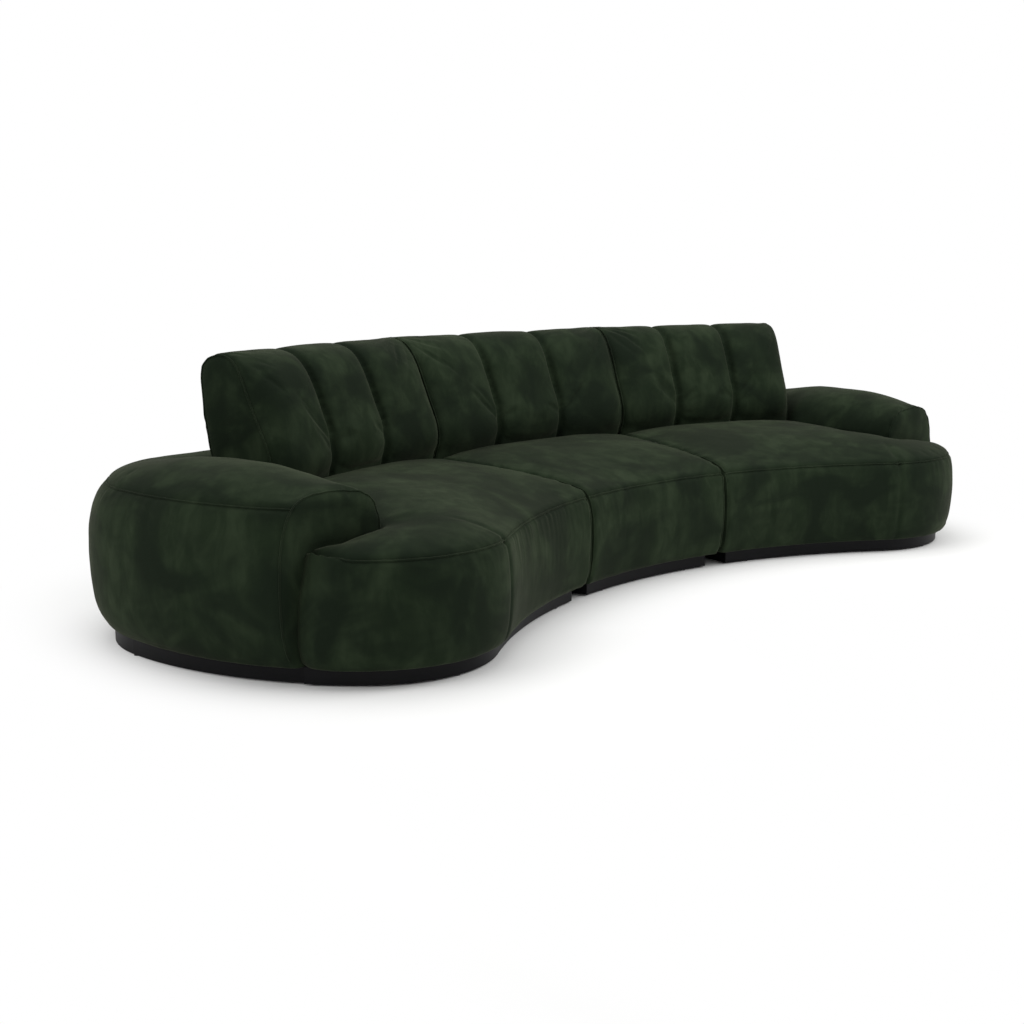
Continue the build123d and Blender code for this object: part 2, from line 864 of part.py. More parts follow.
with BuildPart() as tongues:
    for place in connector_places:
        block = connector_spot(place, connector_inset + connector_length / 2, 0)
        height = plinth_top - tongue_z
        with Locations(Location((block.X, block.Y, tongue_z + height / 2), (0, 0, turned))):
            Box(connector_length, connector_width, height)
        length = tongue_reach + connector_inset + connector_length
        blade = connector_spot(place, length / 2 - tongue_reach, 0)
        with Locations(Location((blade.X, blade.Y, tongue_z + tongue_thickness / 2), (0, 0, turned))):
            Box(length, tongue_width, tongue_thickness)
    screw_bores(screw_spots(screw_set_back), screw_radius + screw_clearance)
keep_pair(tongues.part, "tongues")

for name, off, under in (
    ("clip_screws", -screw_set_back, connector_bottom_z),
    ("tongue_screws", screw_set_back, tongue_z),
):
    with BuildPart() as screws:
        for spot in screw_spots(off):
            length = plinth_top + screw_bite - under
            with Locations((spot.X, spot.Y, under + length / 2)):
                Cylinder(screw_radius, length)
            with Locations((spot.X, spot.Y, under - screw_head_height / 2)):
                Cylinder(screw_head_radius, screw_head_height)
    keep_pair(screws.part, name)
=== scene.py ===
"""Dresses the curved sectional sofa: velvet seats, channelled backs, wrap-round arms and a black plinth."""

import json
import logging
import math
from dataclasses import dataclass, field
from enum import Enum
from typing import Callable, Optional, Sequence

import bmesh
import bpy
import numpy as np
from mathutils import Matrix, Vector, noise
from mathutils.bvhtree import BVHTree
from mathutils.kdtree import KDTree


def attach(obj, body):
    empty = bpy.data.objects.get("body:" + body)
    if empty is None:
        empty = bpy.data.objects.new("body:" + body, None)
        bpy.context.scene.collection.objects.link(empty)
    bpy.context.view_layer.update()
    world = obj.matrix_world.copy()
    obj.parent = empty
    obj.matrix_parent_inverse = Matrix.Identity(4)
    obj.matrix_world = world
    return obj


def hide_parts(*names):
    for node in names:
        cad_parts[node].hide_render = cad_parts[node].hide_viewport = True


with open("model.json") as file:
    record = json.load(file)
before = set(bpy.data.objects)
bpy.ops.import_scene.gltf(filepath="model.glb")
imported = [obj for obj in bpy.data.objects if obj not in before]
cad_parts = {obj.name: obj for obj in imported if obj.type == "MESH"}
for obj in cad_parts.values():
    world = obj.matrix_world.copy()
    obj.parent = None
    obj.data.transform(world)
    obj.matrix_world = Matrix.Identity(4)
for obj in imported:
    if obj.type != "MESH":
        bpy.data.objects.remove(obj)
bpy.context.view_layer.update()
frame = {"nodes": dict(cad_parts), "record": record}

LOG = logging.getLogger("sofa")
Points = np.ndarray

# A plan point's factors on the left-hand side and on the right
FLIP = np.array((-1.0, 1.0))
STAY = np.array((1.0, 1.0))

# Samples along seams: as drawn, and laid on the cover, in metres
DRAWN_STEP = 0.004
LAID_STEP = 0.003
# Every how many drawn samples the piping has a point, and how much of its radius stands proud
WELT_STRIDE = 3
WELT_PROUD = 0.45
# Sizes of the covers' lumps and of the folds under a seam, in metres
BROAD_LUMP = 0.21
FINE_LUMP = 0.07
FOLD_PITCH = 0.015
# How near a seam, joint or end a cover is held, in metres
HELD_NEAR = 0.012
# The swelling: number of steps, mass of a vertex and stiffness of the cloth
AIR_STEPS = 20
CLOTH_MASS = 0.3
CLOTH_STIFFNESS = 15.0
# How much further each second pass of relax goes back, so that nothing shrinks
REGROW = 1.03
# Points along an arm's full side, before its rear corner
SIDE_POINTS = 55
# Stretches of a backrest's section: front and crest, and the same with the rear
FRONT_STRETCH = slice(40, 134)
EDGE_STRETCH = slice(40, 168)


class Module(Enum):
    """The three modules of the sofa, named as their bodies are."""

    LEFT = "left"
    CENTER = "center"
    RIGHT = "right"


# Plan geometry, in metres


def unit(angle: float) -> Points:
    """Unit vector at an angle in degrees from +Y, positive to the right."""
    return np.array((math.sin(math.radians(angle)), math.cos(math.radians(angle))))


def right_of(angle: float) -> Points:
    """Unit vector a quarter turn to the right of unit(angle)."""
    return np.array((math.cos(math.radians(angle)), -math.sin(math.radians(angle))))


def bearing(point: Points, center: Points) -> float:
    """Angle from +Y, in degrees, at which a point is seen from a centre."""
    return math.degrees(math.atan2(point[0] - center[0], point[1] - center[1]))


def line_to_circle(start: Points, direction: Points, center: Points, radius: float) -> Points:
    """Far point where a line meets a circle.

    Args:
        start: A point of the line.
        direction: The line's unit vector.
        center: The circle's centre.
        radius: The circle's radius.

    Returns:
        The point of the circle.
    """
    w = start - center
    b = float(w @ direction)
    return start + direction * (-b + math.sqrt(b * b - float(w @ w) + radius * radius))


def arc(center: Points, start: Points, end: Points, count: int) -> Points:
    """Points along the short arc about a centre, the last one left out.

    Args:
        center: The arc's centre.
        start: Its first point.
        end: Its last point.
        count: How many points to return.

    Returns:
        An array of count points.
    """
    first = bearing(start, center)
    swing = (bearing(end, center) - first + 180.0) % 360.0 - 180.0
    radius = float(np.linalg.norm(start - center))
    return np.array([center + radius * unit(first + swing * i / count) for i in range(count)])


def run(start: Points, end: Points, count: int) -> Points:
    """Points along a straight line, the last one left out."""
    share = np.arange(count)[:, None] / count
    return start * (1.0 - share) + end * share


@dataclass(frozen=True)
class Plan:
    """Sizes of the sofa's plan and heights, as the CAD has them, in metres."""

    half_width: float = 1.780
    front_radius: float = 1.672
    module_angle: float = 12.0
    cap_radius: float = 0.400
    cap_in_from_end: float = 0.580
    side_radius: float = 0.960
    corner_radius: float = 0.440
    rear_center_shift: float = 3.000
    back_center_shift: float = 1.034
    rear_depth: float = 0.453
    back_end_gap: float = 0.0065
    arm_width: float = 0.497
    arm_face_set: float = 0.133
    joint_half: float = 0.003
    soft_gap: float = 0.003
    seat_seam_z: float = 0.336
    seat_seam_draw: float = 0.020
    arm_seam_z: float = 0.462
    back_heel: float = 0.020
    back_lobe: float = 0.018
    back_rear_mid: float = 0.214

    @property
    def arm_inner_x(self) -> float:
        """The x of the arms' inner sides."""
        return self.half_width - self.arm_width

    @property
    def cap_angle(self) -> float:
        """Bearing of the round front corner from the centre of the hollow front."""
        reach = self.front_radius + self.cap_radius
        return math.degrees(math.asin((self.half_width - self.cap_in_from_end) / reach))

    @property
    def back_radius(self) -> float:
        """Radius of the backrests' front."""
        return self.rear_radius - self.rear_center_shift - self.rear_depth + self.back_center_shift

    @property
    def back_end_angle(self) -> float:
        """Bearing of the backrests' outer ends."""
        return math.degrees(math.asin((self.arm_inner_x - self.back_end_gap) / self.back_radius))

    @property
    def cap_center_raw(self) -> Points:
        """Centre of the round front corner, from the centre of the hollow front."""
        return (self.front_radius + self.cap_radius) * unit(self.cap_angle)

    @property
    def side_center_raw(self) -> Points:
        """Centre of the full side, from the centre of the hollow front."""
        x = self.half_width - self.side_radius
        cap = self.cap_center_raw
        drop = math.sqrt((self.side_radius - self.cap_radius) ** 2 - (x - cap[0]) ** 2)
        return np.array((x, cap[1] + drop))

    @property
    def rear_radius(self) -> float:
        """Radius of the rear."""
        corner = (self.half_width - self.corner_radius, self.side_center_raw[1])
        return math.hypot(corner[0], corner[1] + self.rear_center_shift) + self.corner_radius

    @property
    def front_center(self) -> Points:
        """Centre of the hollow front in the row frame."""
        rear_y = self.rear_radius - self.rear_center_shift
        front_y = self.cap_center_raw[1] - self.cap_radius
        return np.array((0.0, -(rear_y + front_y) / 2.0))

    @property
    def cap_center(self) -> Points:
        """Centre of the round front corner."""
        return self.cap_center_raw + self.front_center

    @property
    def side_center(self) -> Points:
        """Centre of the full side."""
        return self.side_center_raw + self.front_center

    @property
    def corner_center(self) -> Points:
        """Centre of the rear corner."""
        return np.array((self.half_width - self.corner_radius, self.side_center[1]))

    @property
    def rear_center(self) -> Points:
        """Centre of the rear."""
        return self.front_center - np.array((0.0, self.rear_center_shift))

    @property
    def back_center(self) -> Points:
        """Centre of the backrests' arc."""
        return self.front_center - np.array((0.0, self.back_center_shift))

    @property
    def face_y(self) -> float:
        """The y of the arms' front faces."""
        return float(self.cap_center[1]) - self.arm_face_set

    @property
    def seat_rear_radius(self) -> float:
        """Radius of the seats' rear, about the backrests' centre."""
        return self.back_radius + self.back_heel - self.back_lobe / 3.0 - self.soft_gap

    @property
    def bolster_radius(self) -> float:
        """Inner radius of the bolsters behind the backrests."""
        return self.back_radius + self.back_rear_mid + self.soft_gap

    def joint(self, center: Points, radius: float, off: float) -> Points:
        """Point of a circle beside the right-hand module joint, off to its right."""
        start = self.front_center + right_of(self.module_angle) * off
        return line_to_circle(start, unit(self.module_angle), center, radius)

    def seat_rear_gap(self, flat: Points) -> Points:
        """Distance in plan before the seats' rear."""
        return self.seat_rear_radius - np.linalg.norm(flat - self.back_center, axis=1)

    def side_point(self, inset: float, y: float) -> Points:
        """Point of the drawn-in full side at a given y."""
        r = self.side_radius - inset
        return np.array((self.side_center[0] + math.sqrt(r * r - (y - self.side_center[1]) ** 2), y))

    def cap_point(self, inset: float) -> Points:
        """Where the round corner turns into the full side."""
        away = self.cap_center - self.side_center
        return self.cap_center + away / np.linalg.norm(away) * (self.cap_radius - inset)

    def front_point(self, inset: float) -> Points:
        """Where the hollow front turns into the round corner."""
        return self.front_center + (self.front_radius + inset) * unit(self.cap_angle)

    def rear_turn(self, inset: float) -> Points:
        """Where the rear corner turns into the rear."""
        away = self.corner_center - self.rear_center
        return self.corner_center + away / np.linalg.norm(away) * (self.corner_radius - inset)

    def end_line(self, reach: float, off: float) -> Points:
        """Point of the backrest's end plane at a radius, held off the plane."""
        start = self.back_center + right_of(self.back_end_angle) * off
        return start + unit(self.back_end_angle) * math.sqrt(reach * reach - off * off)


PLAN = Plan()

# Mesh helpers


def smoothstep(value: Points, low: float, high: float) -> Points:
    """Soft ramp from 0 at low to 1 at high."""
    t = np.clip((value - low) / (high - low), 0.0, 1.0)
    return t * t * (3.0 - 2.0 * t)


class Track:
    """A line in space with a fast search for its nearest point."""

    def __init__(self, points: Points, step: float = LAID_STEP) -> None:
        """Resamples the line evenly.

        Args:
            points: Corners of the line, in two or three dimensions.
            step: Spacing of the samples, in metres.
        """
        if points.shape[1] == 2:
            points = np.column_stack((points, np.zeros(len(points))))
        gaps = np.linalg.norm(np.diff(points, axis=0), axis=1)
        length = np.concatenate(([0.0], np.cumsum(gaps)))
        self.length = float(length[-1])
        count = max(2, int(self.length / step) + 1)
        self.along = np.linspace(0.0, self.length, count)
        self.points = np.column_stack([np.interp(self.along, length, points[:, i]) for i in range(3)])
        self.tree = KDTree(count)
        for index, point in enumerate(self.points):
            self.tree.insert(point, index)
        self.tree.balance()

    def near(self, places: Points) -> tuple[Points, Points]:
        """Distance to the line, and how far along it, for many places.

        Args:
            places: Points in three dimensions.

        Returns:
            Two arrays: distances and lengths along the line.
        """
        distance = np.empty(len(places))
        where = np.empty(len(places))
        for i, place in enumerate(places):
            _, index, gap = self.tree.find(place)
            distance[i] = gap
            where[i] = self.along[index]
        return distance, where

    def near_flat(self, places: Points) -> Points:
        """Distance in plan to a line drawn at height 0."""
        flat = places.copy()
        flat[:, 2] = 0.0
        return self.near(flat)[0]


def deselect() -> None:
    """Leaves edit mode and selects nothing."""
    if bpy.context.object is not None and bpy.context.object.mode != "OBJECT":
        bpy.ops.object.mode_set(mode="OBJECT")
    bpy.ops.object.select_all(action="DESELECT")


def take(obj: bpy.types.Object) -> None:
    """Makes an object the only selected and active one."""
    deselect()
    obj.select_set(True)
    bpy.context.view_layer.objects.active = obj


def apply_modifiers(obj: bpy.types.Object) -> None:
    """Applies every modifier of an object in order."""
    take(obj)
    for modifier in list(obj.modifiers):
        bpy.ops.object.modifier_apply(modifier=modifier.name)


def coordinates(mesh: bpy.types.Mesh) -> Points:
    """All vertex places of a mesh."""
    flat = np.empty(len(mesh.vertices) * 3)
    mesh.vertices.foreach_get("co", flat)
    return flat.reshape(-1, 3)


def place_vertices(mesh: bpy.types.Mesh, places: Points) -> None:
    """Moves every vertex of a mesh."""
    mesh.vertices.foreach_set("co", places.ravel())
    mesh.update()


def normals(mesh: bpy.types.Mesh) -> Points:
    """All vertex normals of a mesh."""
    flat = np.empty(len(mesh.vertices) * 3)
    mesh.vertex_normals.foreach_get("vector", flat)
    return flat.reshape(-1, 3)


def skin_of(mesh: bpy.types.Mesh) -> BVHTree:
    """Search tree over a mesh's faces."""
    return BVHTree.FromPolygons(coordinates(mesh), [list(p.vertices) for p in mesh.polygons])


def lofted(name: str, rings: Sequence[Points]) -> bpy.types.Object:
    """Closed skin over rings of equal point counts, with a face at each end.

    Args:
        name: Name of the new object.
        rings: Closed loops of points, in order.

    Returns:
        The new object.
    """
    build = bmesh.new()
    loops = [[build.verts.new(point) for point in ring] for ring in rings]
    for low, high in zip(loops, loops[1:]):
        for i in range(len(low)):
            j = (i + 1) % len(low)
            build.faces.new((low[i], low[j], high[j], high[i]))
    caps = [build.faces.new(list(reversed(loops[0]))), build.faces.new(loops[-1])]
    bmesh.ops.triangulate(build, faces=caps)
    bmesh.ops.recalc_face_normals(build, faces=build.faces)
    mesh = bpy.data.meshes.new(name)
    build.to_mesh(mesh)
    build.free()
    obj = bpy.data.objects.new(name, mesh)
    bpy.context.scene.collection.objects.link(obj)
    return obj


def relax(mesh: bpy.types.Mesh, rounds: int, share: float) -> None:
    """Evens out a mesh by moving each vertex towards the mean of its neighbours.

    Args:
        mesh: The mesh to change.
        rounds: How many passes to make.
        share: How far each pass goes, from 0 to 1.
    """
    edges = np.empty(len(mesh.edges) * 2, dtype=np.int64)
    mesh.edges.foreach_get("vertices", edges)
    a, b = edges.reshape(-1, 2).T
    places = coordinates(mesh)
    count = np.bincount(a, minlength=len(places)) + np.bincount(b, minlength=len(places))
    for turn in range(rounds * 2):
        total = np.zeros_like(places)
        np.add.at(total, a, places[b])
        np.add.at(total, b, places[a])
        step = share if turn % 2 == 0 else -share * REGROW
        places += (total / np.maximum(count, 1)[:, None] - places) * step
    place_vertices(mesh, places)


# Covers: soft pieces drawn from the plan, remeshed, swollen, sewn and piped


@dataclass
class Seam:
    """A sewn line on a cover, drawn for the right-hand side.

    Attributes:
        points: Corners of the line, in metres.
        depth: How far the cover is drawn in at the line.
        width: How far the drawn-in fold reaches.
        welt: Radius of the piping along the line, or 0 for none.
        gather: Height of the small folds that run down from the line.
        reach: Length of those folds.
        fade: Whether the fold fades out towards the line's end.
    """

    points: Points
    depth: float = 0.003
    width: float = 0.010
    welt: float = 0.0023
    gather: float = 0.0
    reach: float = 0.05
    fade: bool = False


def lift(flat: Points, height: float | Points) -> Points:
    """Points of a plan at a height."""
    return np.column_stack((flat, np.broadcast_to(height, len(flat))))


def noise_at(places: Points, size: float, seed: float) -> Points:
    """Smooth random value about -1 to 1 at each place.

    Args:
        places: Points in metres.
        size: Size of the lumps, in metres.
        seed: Shift that makes one piece differ from another.

    Returns:
        One value a place.
    """
    shift = Vector((seed * 7.13, seed * 3.71, seed * 5.37))
    return np.array([noise.noise(Vector(place) / size + shift) for place in places])


@dataclass
class Cover:
    """A padded piece that stands for one upholstered CAD solid."""

    module: Module
    node: str
    seed: float
    voxel: float = 0.012
    swell: float = 0.008
    pressure: float = 4.0
    fill: float = 0.8
    lump: float = 0.0022
    bottom: float = 0.047

    def rings(self) -> list[Points]:
        """Rings of the cage, from one end to the other."""
        raise NotImplementedError

    def drape(self, places: Points, facing: Points) -> Points:
        """Lays the top of the remeshed cage on the cover's crown."""
        return places

    def held(self, places: Points) -> Points:
        """True where the cover can't swell: by its neighbours and underneath."""
        return places[:, 2] < self.bottom + 0.02

    def joint_gap(self, flat: Points) -> Points:
        """Distance in plan from the nearest module joint."""
        side = right_of(PLAN.module_angle)
        if self.module is not Module.CENTER:
            return (flat - PLAN.front_center) @ side - PLAN.joint_half
        mirrored = np.column_stack((np.abs(flat[:, 0]), flat[:, 1])) - PLAN.front_center
        return -(mirrored @ side) - PLAN.joint_half

    def seams(self) -> list[Seam]:
        """Every sewn line of the cover."""
        return []

    def build(self, velvet: bpy.types.Material) -> None:
        """Makes the cover and its piping.

        Args:
            velvet: The material of both.
        """
        obj = lofted(f"{self.node}_cover", self.rings())
        modifier = obj.modifiers.new("skin", "REMESH")
        modifier.mode = "VOXEL"
        modifier.voxel_size = self.voxel
        apply_modifiers(obj)
        mesh = obj.data
        places = coordinates(mesh)
        place_vertices(mesh, self.drape(places, normals(mesh)))
        relax(mesh, 6, 0.5)
        self.inflate(obj)
        modifier = obj.modifiers.new("finer", "SUBSURF")
        modifier.levels = modifier.render_levels = 1
        apply_modifiers(obj)
        welts = self.sew(mesh)
        piping = self.pipe(welts)
        for piece in [obj] + ([piping] if piping else []):
            self.finish(piece, velvet)
        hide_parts(self.node)
        LOG.info("%s: %d faces, %d seams", self.node, len(mesh.polygons), len(welts))

    def inflate(self, obj: bpy.types.Object) -> None:
        """Lets air pressure swell the cover between its held parts, by no more than swell."""
        mesh = obj.data
        before = coordinates(mesh)
        group = obj.vertex_groups.new(name="held")
        group.add(np.flatnonzero(self.held(before)).tolist(), 1.0, "REPLACE")
        cloth = obj.modifiers.new("air", "CLOTH")
        settings = cloth.settings
        settings.quality = 2
        settings.mass = CLOTH_MASS
        settings.tension_stiffness = settings.compression_stiffness = CLOTH_STIFFNESS
        settings.use_pressure = True
        settings.uniform_pressure_force = self.pressure
        settings.effector_weights.gravity = 0.0
        settings.vertex_group_mass = "held"
        cloth.collision_settings.use_collision = False
        cloth.point_cache.frame_start = 1
        cloth.point_cache.frame_end = AIR_STEPS
        scene = bpy.context.scene
        for step in range(1, AIR_STEPS + 1):
            scene.frame_set(step)
        evaluated = obj.evaluated_get(bpy.context.evaluated_depsgraph_get())
        move = coordinates(evaluated.data) - before
        obj.modifiers.remove(cloth)
        obj.vertex_groups.clear()
        scene.frame_set(1)
        size = np.linalg.norm(move, axis=1)
        cap = np.minimum(1.0, self.swell / np.maximum(size, 1e-9))
        place_vertices(mesh, before + move * cap[:, None])
        relax(mesh, 1, 0.4)

    def sew(self, mesh: bpy.types.Mesh) -> list[tuple[Points, float]]:
        """Draws the seams and folds into a mesh.

        Args:
            mesh: The cover's fine mesh.

        Returns:
            The middle line and radius of each length of piping.
        """
        places = coordinates(mesh)
        facing = normals(mesh)
        push = self.lump * noise_at(places, BROAD_LUMP, self.seed)
        push += 0.4 * self.lump * noise_at(places, FINE_LUMP, self.seed)
        push *= ~self.held(places)
        skin = skin_of(mesh)
        lines = []
        for seam in self.seams():
            rough = Track(seam.points, DRAWN_STEP)
            laid = np.array([skin.find_nearest(Vector(point))[0] for point in rough.points])
            track = Track(laid, LAID_STEP)
            margin = 2.5 * seam.reach if seam.gather else 4.0 * seam.width
            low, high = laid.min(axis=0) - margin, laid.max(axis=0) + margin
            close = np.flatnonzero(np.all((places > low) & (places < high), axis=1))
            gap, where = track.near(places[close])
            share = 1.0 - where / track.length if seam.fade else 1.0
            push[close] -= seam.depth * share * np.exp(-((gap / seam.width) ** 2))
            if seam.gather:
                folds = np.array([noise.noise(Vector((w / FOLD_PITCH, self.seed * 3.1, 0.3))) for w in where])
                under = smoothstep(rough.points[:, 2].mean() - places[close][:, 2], -0.004, 0.006)
                fall = np.exp(-gap / seam.reach)
                push[close] += seam.gather * folds * under * fall * smoothstep(gap, 0.0, 0.012)
            if seam.welt:
                lines.append((rough.points, seam.welt))
        place_vertices(mesh, places + facing * push[:, None])
        skin = skin_of(mesh)
        laid_lines = []
        for line, radius in lines:
            hits = [skin.find_nearest(Vector(point)) for point in line[::WELT_STRIDE]]
            laid_lines.append((np.array([hit[0] + hit[1] * radius * WELT_PROUD for hit in hits]), radius))
        return laid_lines

    def pipe(self, welts: Sequence[tuple[Points, float]]) -> Optional[bpy.types.Object]:
        """Makes the piping of a cover as one mesh."""
        if not welts:
            return None
        curve = bpy.data.curves.new(f"{self.node}_piping", "CURVE")
        curve.dimensions = "3D"
        curve.bevel_depth = welts[0][1]
        curve.bevel_resolution = 1
        curve.use_fill_caps = True
        for line, _ in welts:
            spline = curve.splines.new("POLY")
            spline.points.add(len(line) - 1)
            spline.points.foreach_set("co", np.column_stack((line, np.ones(len(line)))).ravel())
        obj = bpy.data.objects.new(curve.name, curve)
        bpy.context.scene.collection.objects.link(obj)
        take(obj)
        bpy.ops.object.convert(target="MESH")
        return bpy.context.object

    def finish(self, obj: bpy.types.Object, velvet: bpy.types.Material) -> None:
        """Turns a right-hand piece over for the left, dresses it and hangs it on its body."""
        mesh = obj.data
        if self.module is Module.LEFT:
            mesh.transform(Matrix.Scale(-1.0, 4, Vector((1.0, 0.0, 0.0))))
            mesh.flip_normals()
        mesh.materials.clear()
        mesh.materials.append(velvet)
        mesh.shade_smooth()
        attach(obj, self.module.value)


def edge_drop(gap: Points, radius: float) -> Points:
    """How far a rounded edge lies below the flat, at a distance from the edge."""
    inside = radius - np.clip(gap, 0.0, radius)
    return radius - np.sqrt(np.maximum(radius * radius - inside * inside, 0.0))


@dataclass
class SeatCover(Cover):
    """A seat: full front, sewn front edge and a top that rises towards the backrest."""

    front_z: tuple[float, ...] = (0.047, 0.060, 0.080, 0.110, 0.160, 0.215, 0.280, 0.312, 0.336)
    front_in: tuple[float, ...] = (0.026, 0.017, 0.010, 0.0045, 0.001, 0.0, 0.004, 0.011, 0.020)
    side_in: tuple[float, ...] = (0.008, 0.004, 0.002, 0.001, 0.0, 0.0, 0.0, 0.0, 0.0)
    rise_at: tuple[float, ...] = (0.0, 0.006, 0.014, 0.030, 0.060, 0.122, 0.246, 0.373, 0.500, 0.700)
    rise: tuple[float, ...] = (0.0, 0.011, 0.019, 0.027, 0.035, 0.046, 0.059, 0.068, 0.074, 0.078)
    crown: float = 0.020
    crown_reach: float = 0.28
    crown_ramp: tuple[float, float] = (0.02, 0.32)
    joint_edge: float = 0.007
    rear_edge: float = 0.03
    rear_held: float = 0.04

    def outline(self, front: float, side: float, share: float = 1.0) -> Points:
        """Plan outline at a front and a side inset, and at a share of the height."""
        raise NotImplementedError

    def front_gap(self, flat: Points) -> Points:
        """Distance in plan behind the front seam."""
        raise NotImplementedError

    def height(self, flat: Points) -> Points:
        """Height of the seat's top over points of the plan."""
        behind = self.front_gap(flat)
        beside = np.clip(self.joint_gap(flat), 0.0, None)
        rear = PLAN.seat_rear_gap(flat)
        top = PLAN.seat_seam_z + np.interp(behind, self.rise_at, self.rise)
        swell = 1.0 - (1.0 - np.clip(beside / self.crown_reach, 0.0, 1.0)) ** 2
        top += self.crown * swell * smoothstep(behind, *self.crown_ramp)
        edge = np.minimum(self.joint_edge, behind * 0.6)
        top = top - edge_drop(beside, self.joint_edge) * edge / self.joint_edge
        return top - edge_drop(rear, self.rear_edge)

    def rings(self) -> list[Points]:
        """Rings of the walls, from the bottom to the seams around the top."""
        top = self.height(self.outline(PLAN.seat_seam_draw, 0.0))
        made = []
        for z, front, side in zip(self.front_z, self.front_in, self.side_in):
            share = (z - self.bottom) / (PLAN.seat_seam_z - self.bottom)
            made.append(lift(self.outline(front, side, share), self.bottom + (top - self.bottom) * share))
        return made

    def drape(self, places: Points, facing: Points) -> Points:
        """Lays the top on its crown."""
        laid = places.copy()
        top = (facing[:, 2] > 0.4) & (places[:, 2] > 0.3)
        laid[top, 2] = self.height(places[top, :2])
        return laid

    def held(self, places: Points) -> Points:
        """The underside, the joint walls, the rear and the front seam are held."""
        flat = places[:, :2]
        rear = PLAN.seat_rear_gap(flat)
        level = np.abs(places[:, 2] - PLAN.seat_seam_z) < HELD_NEAR
        seam = level & (self.front_gap(flat) < HELD_NEAR)
        return super().held(places) | (self.joint_gap(flat) < HELD_NEAR) | (rear < self.rear_held) | seam

    def front_edge(self, place: Callable[[float], Points], low: float = 0.075) -> Points:
        """Upright line down the front, from the front seam.

        Args:
            place: Gives the plan point at a front inset.
            low: Height at which the line ends.

        Returns:
            The line's points.
        """
        heights = np.linspace(PLAN.seat_seam_z, low, 24)
        insets = np.interp(heights, self.front_z, self.front_in)
        return np.array([np.append(place(i), z) for i, z in zip(insets, heights)])

    def joint_seam(self, flat: Points) -> Points:
        """Line over the top along a joint."""
        return lift(flat, self.height(flat))


@dataclass
class CenterSeat(SeatCover):
    """The wedge-shaped middle seat."""

    def outline(self, front: float, side: float, share: float = 1.0) -> Points:
        """Plan outline at a front and a side inset, the same at every height."""
        off = -PLAN.joint_half - side
        rear = PLAN.seat_rear_radius - side
        a = PLAN.joint(PLAN.front_center, PLAN.front_radius + front, off)
        b = PLAN.joint(PLAN.back_center, rear, off)
        return np.vstack((
            arc(PLAN.front_center, a * FLIP, a, 70),
            run(a, b, 60),
            arc(PLAN.back_center, b, b * FLIP, 90),
            run(b * FLIP, a * FLIP, 60),
        ))

    def front_gap(self, flat: Points) -> Points:
        """Distance in plan behind the front seam."""
        radius = np.linalg.norm(flat - PLAN.front_center, axis=1)
        return np.clip(radius - PLAN.front_radius - PLAN.seat_seam_draw, 0.0, None)

    def seams(self) -> list[Seam]:
        """Front seam, both joint edges and both front corners."""
        reach = PLAN.front_radius + PLAN.seat_seam_draw
        off = -PLAN.joint_half - 0.001
        a = PLAN.joint(PLAN.front_center, reach, off)
        b = PLAN.joint(PLAN.back_center, PLAN.seat_rear_radius - 0.01, off)
        front = np.vstack((arc(PLAN.front_center, a * FLIP, a, 60), a))
        made = [Seam(lift(front, PLAN.seat_seam_z), 0.006, welt=0.0028, gather=0.0018)]
        for turn in (STAY, FLIP):
            made.append(Seam(self.joint_seam(np.vstack((run(a, b, 40), b)) * turn), 0.001))
            made.append(Seam(self.front_edge(
                lambda i: PLAN.joint(PLAN.front_center, PLAN.front_radius + i, off) * turn), 0.001))
        return made


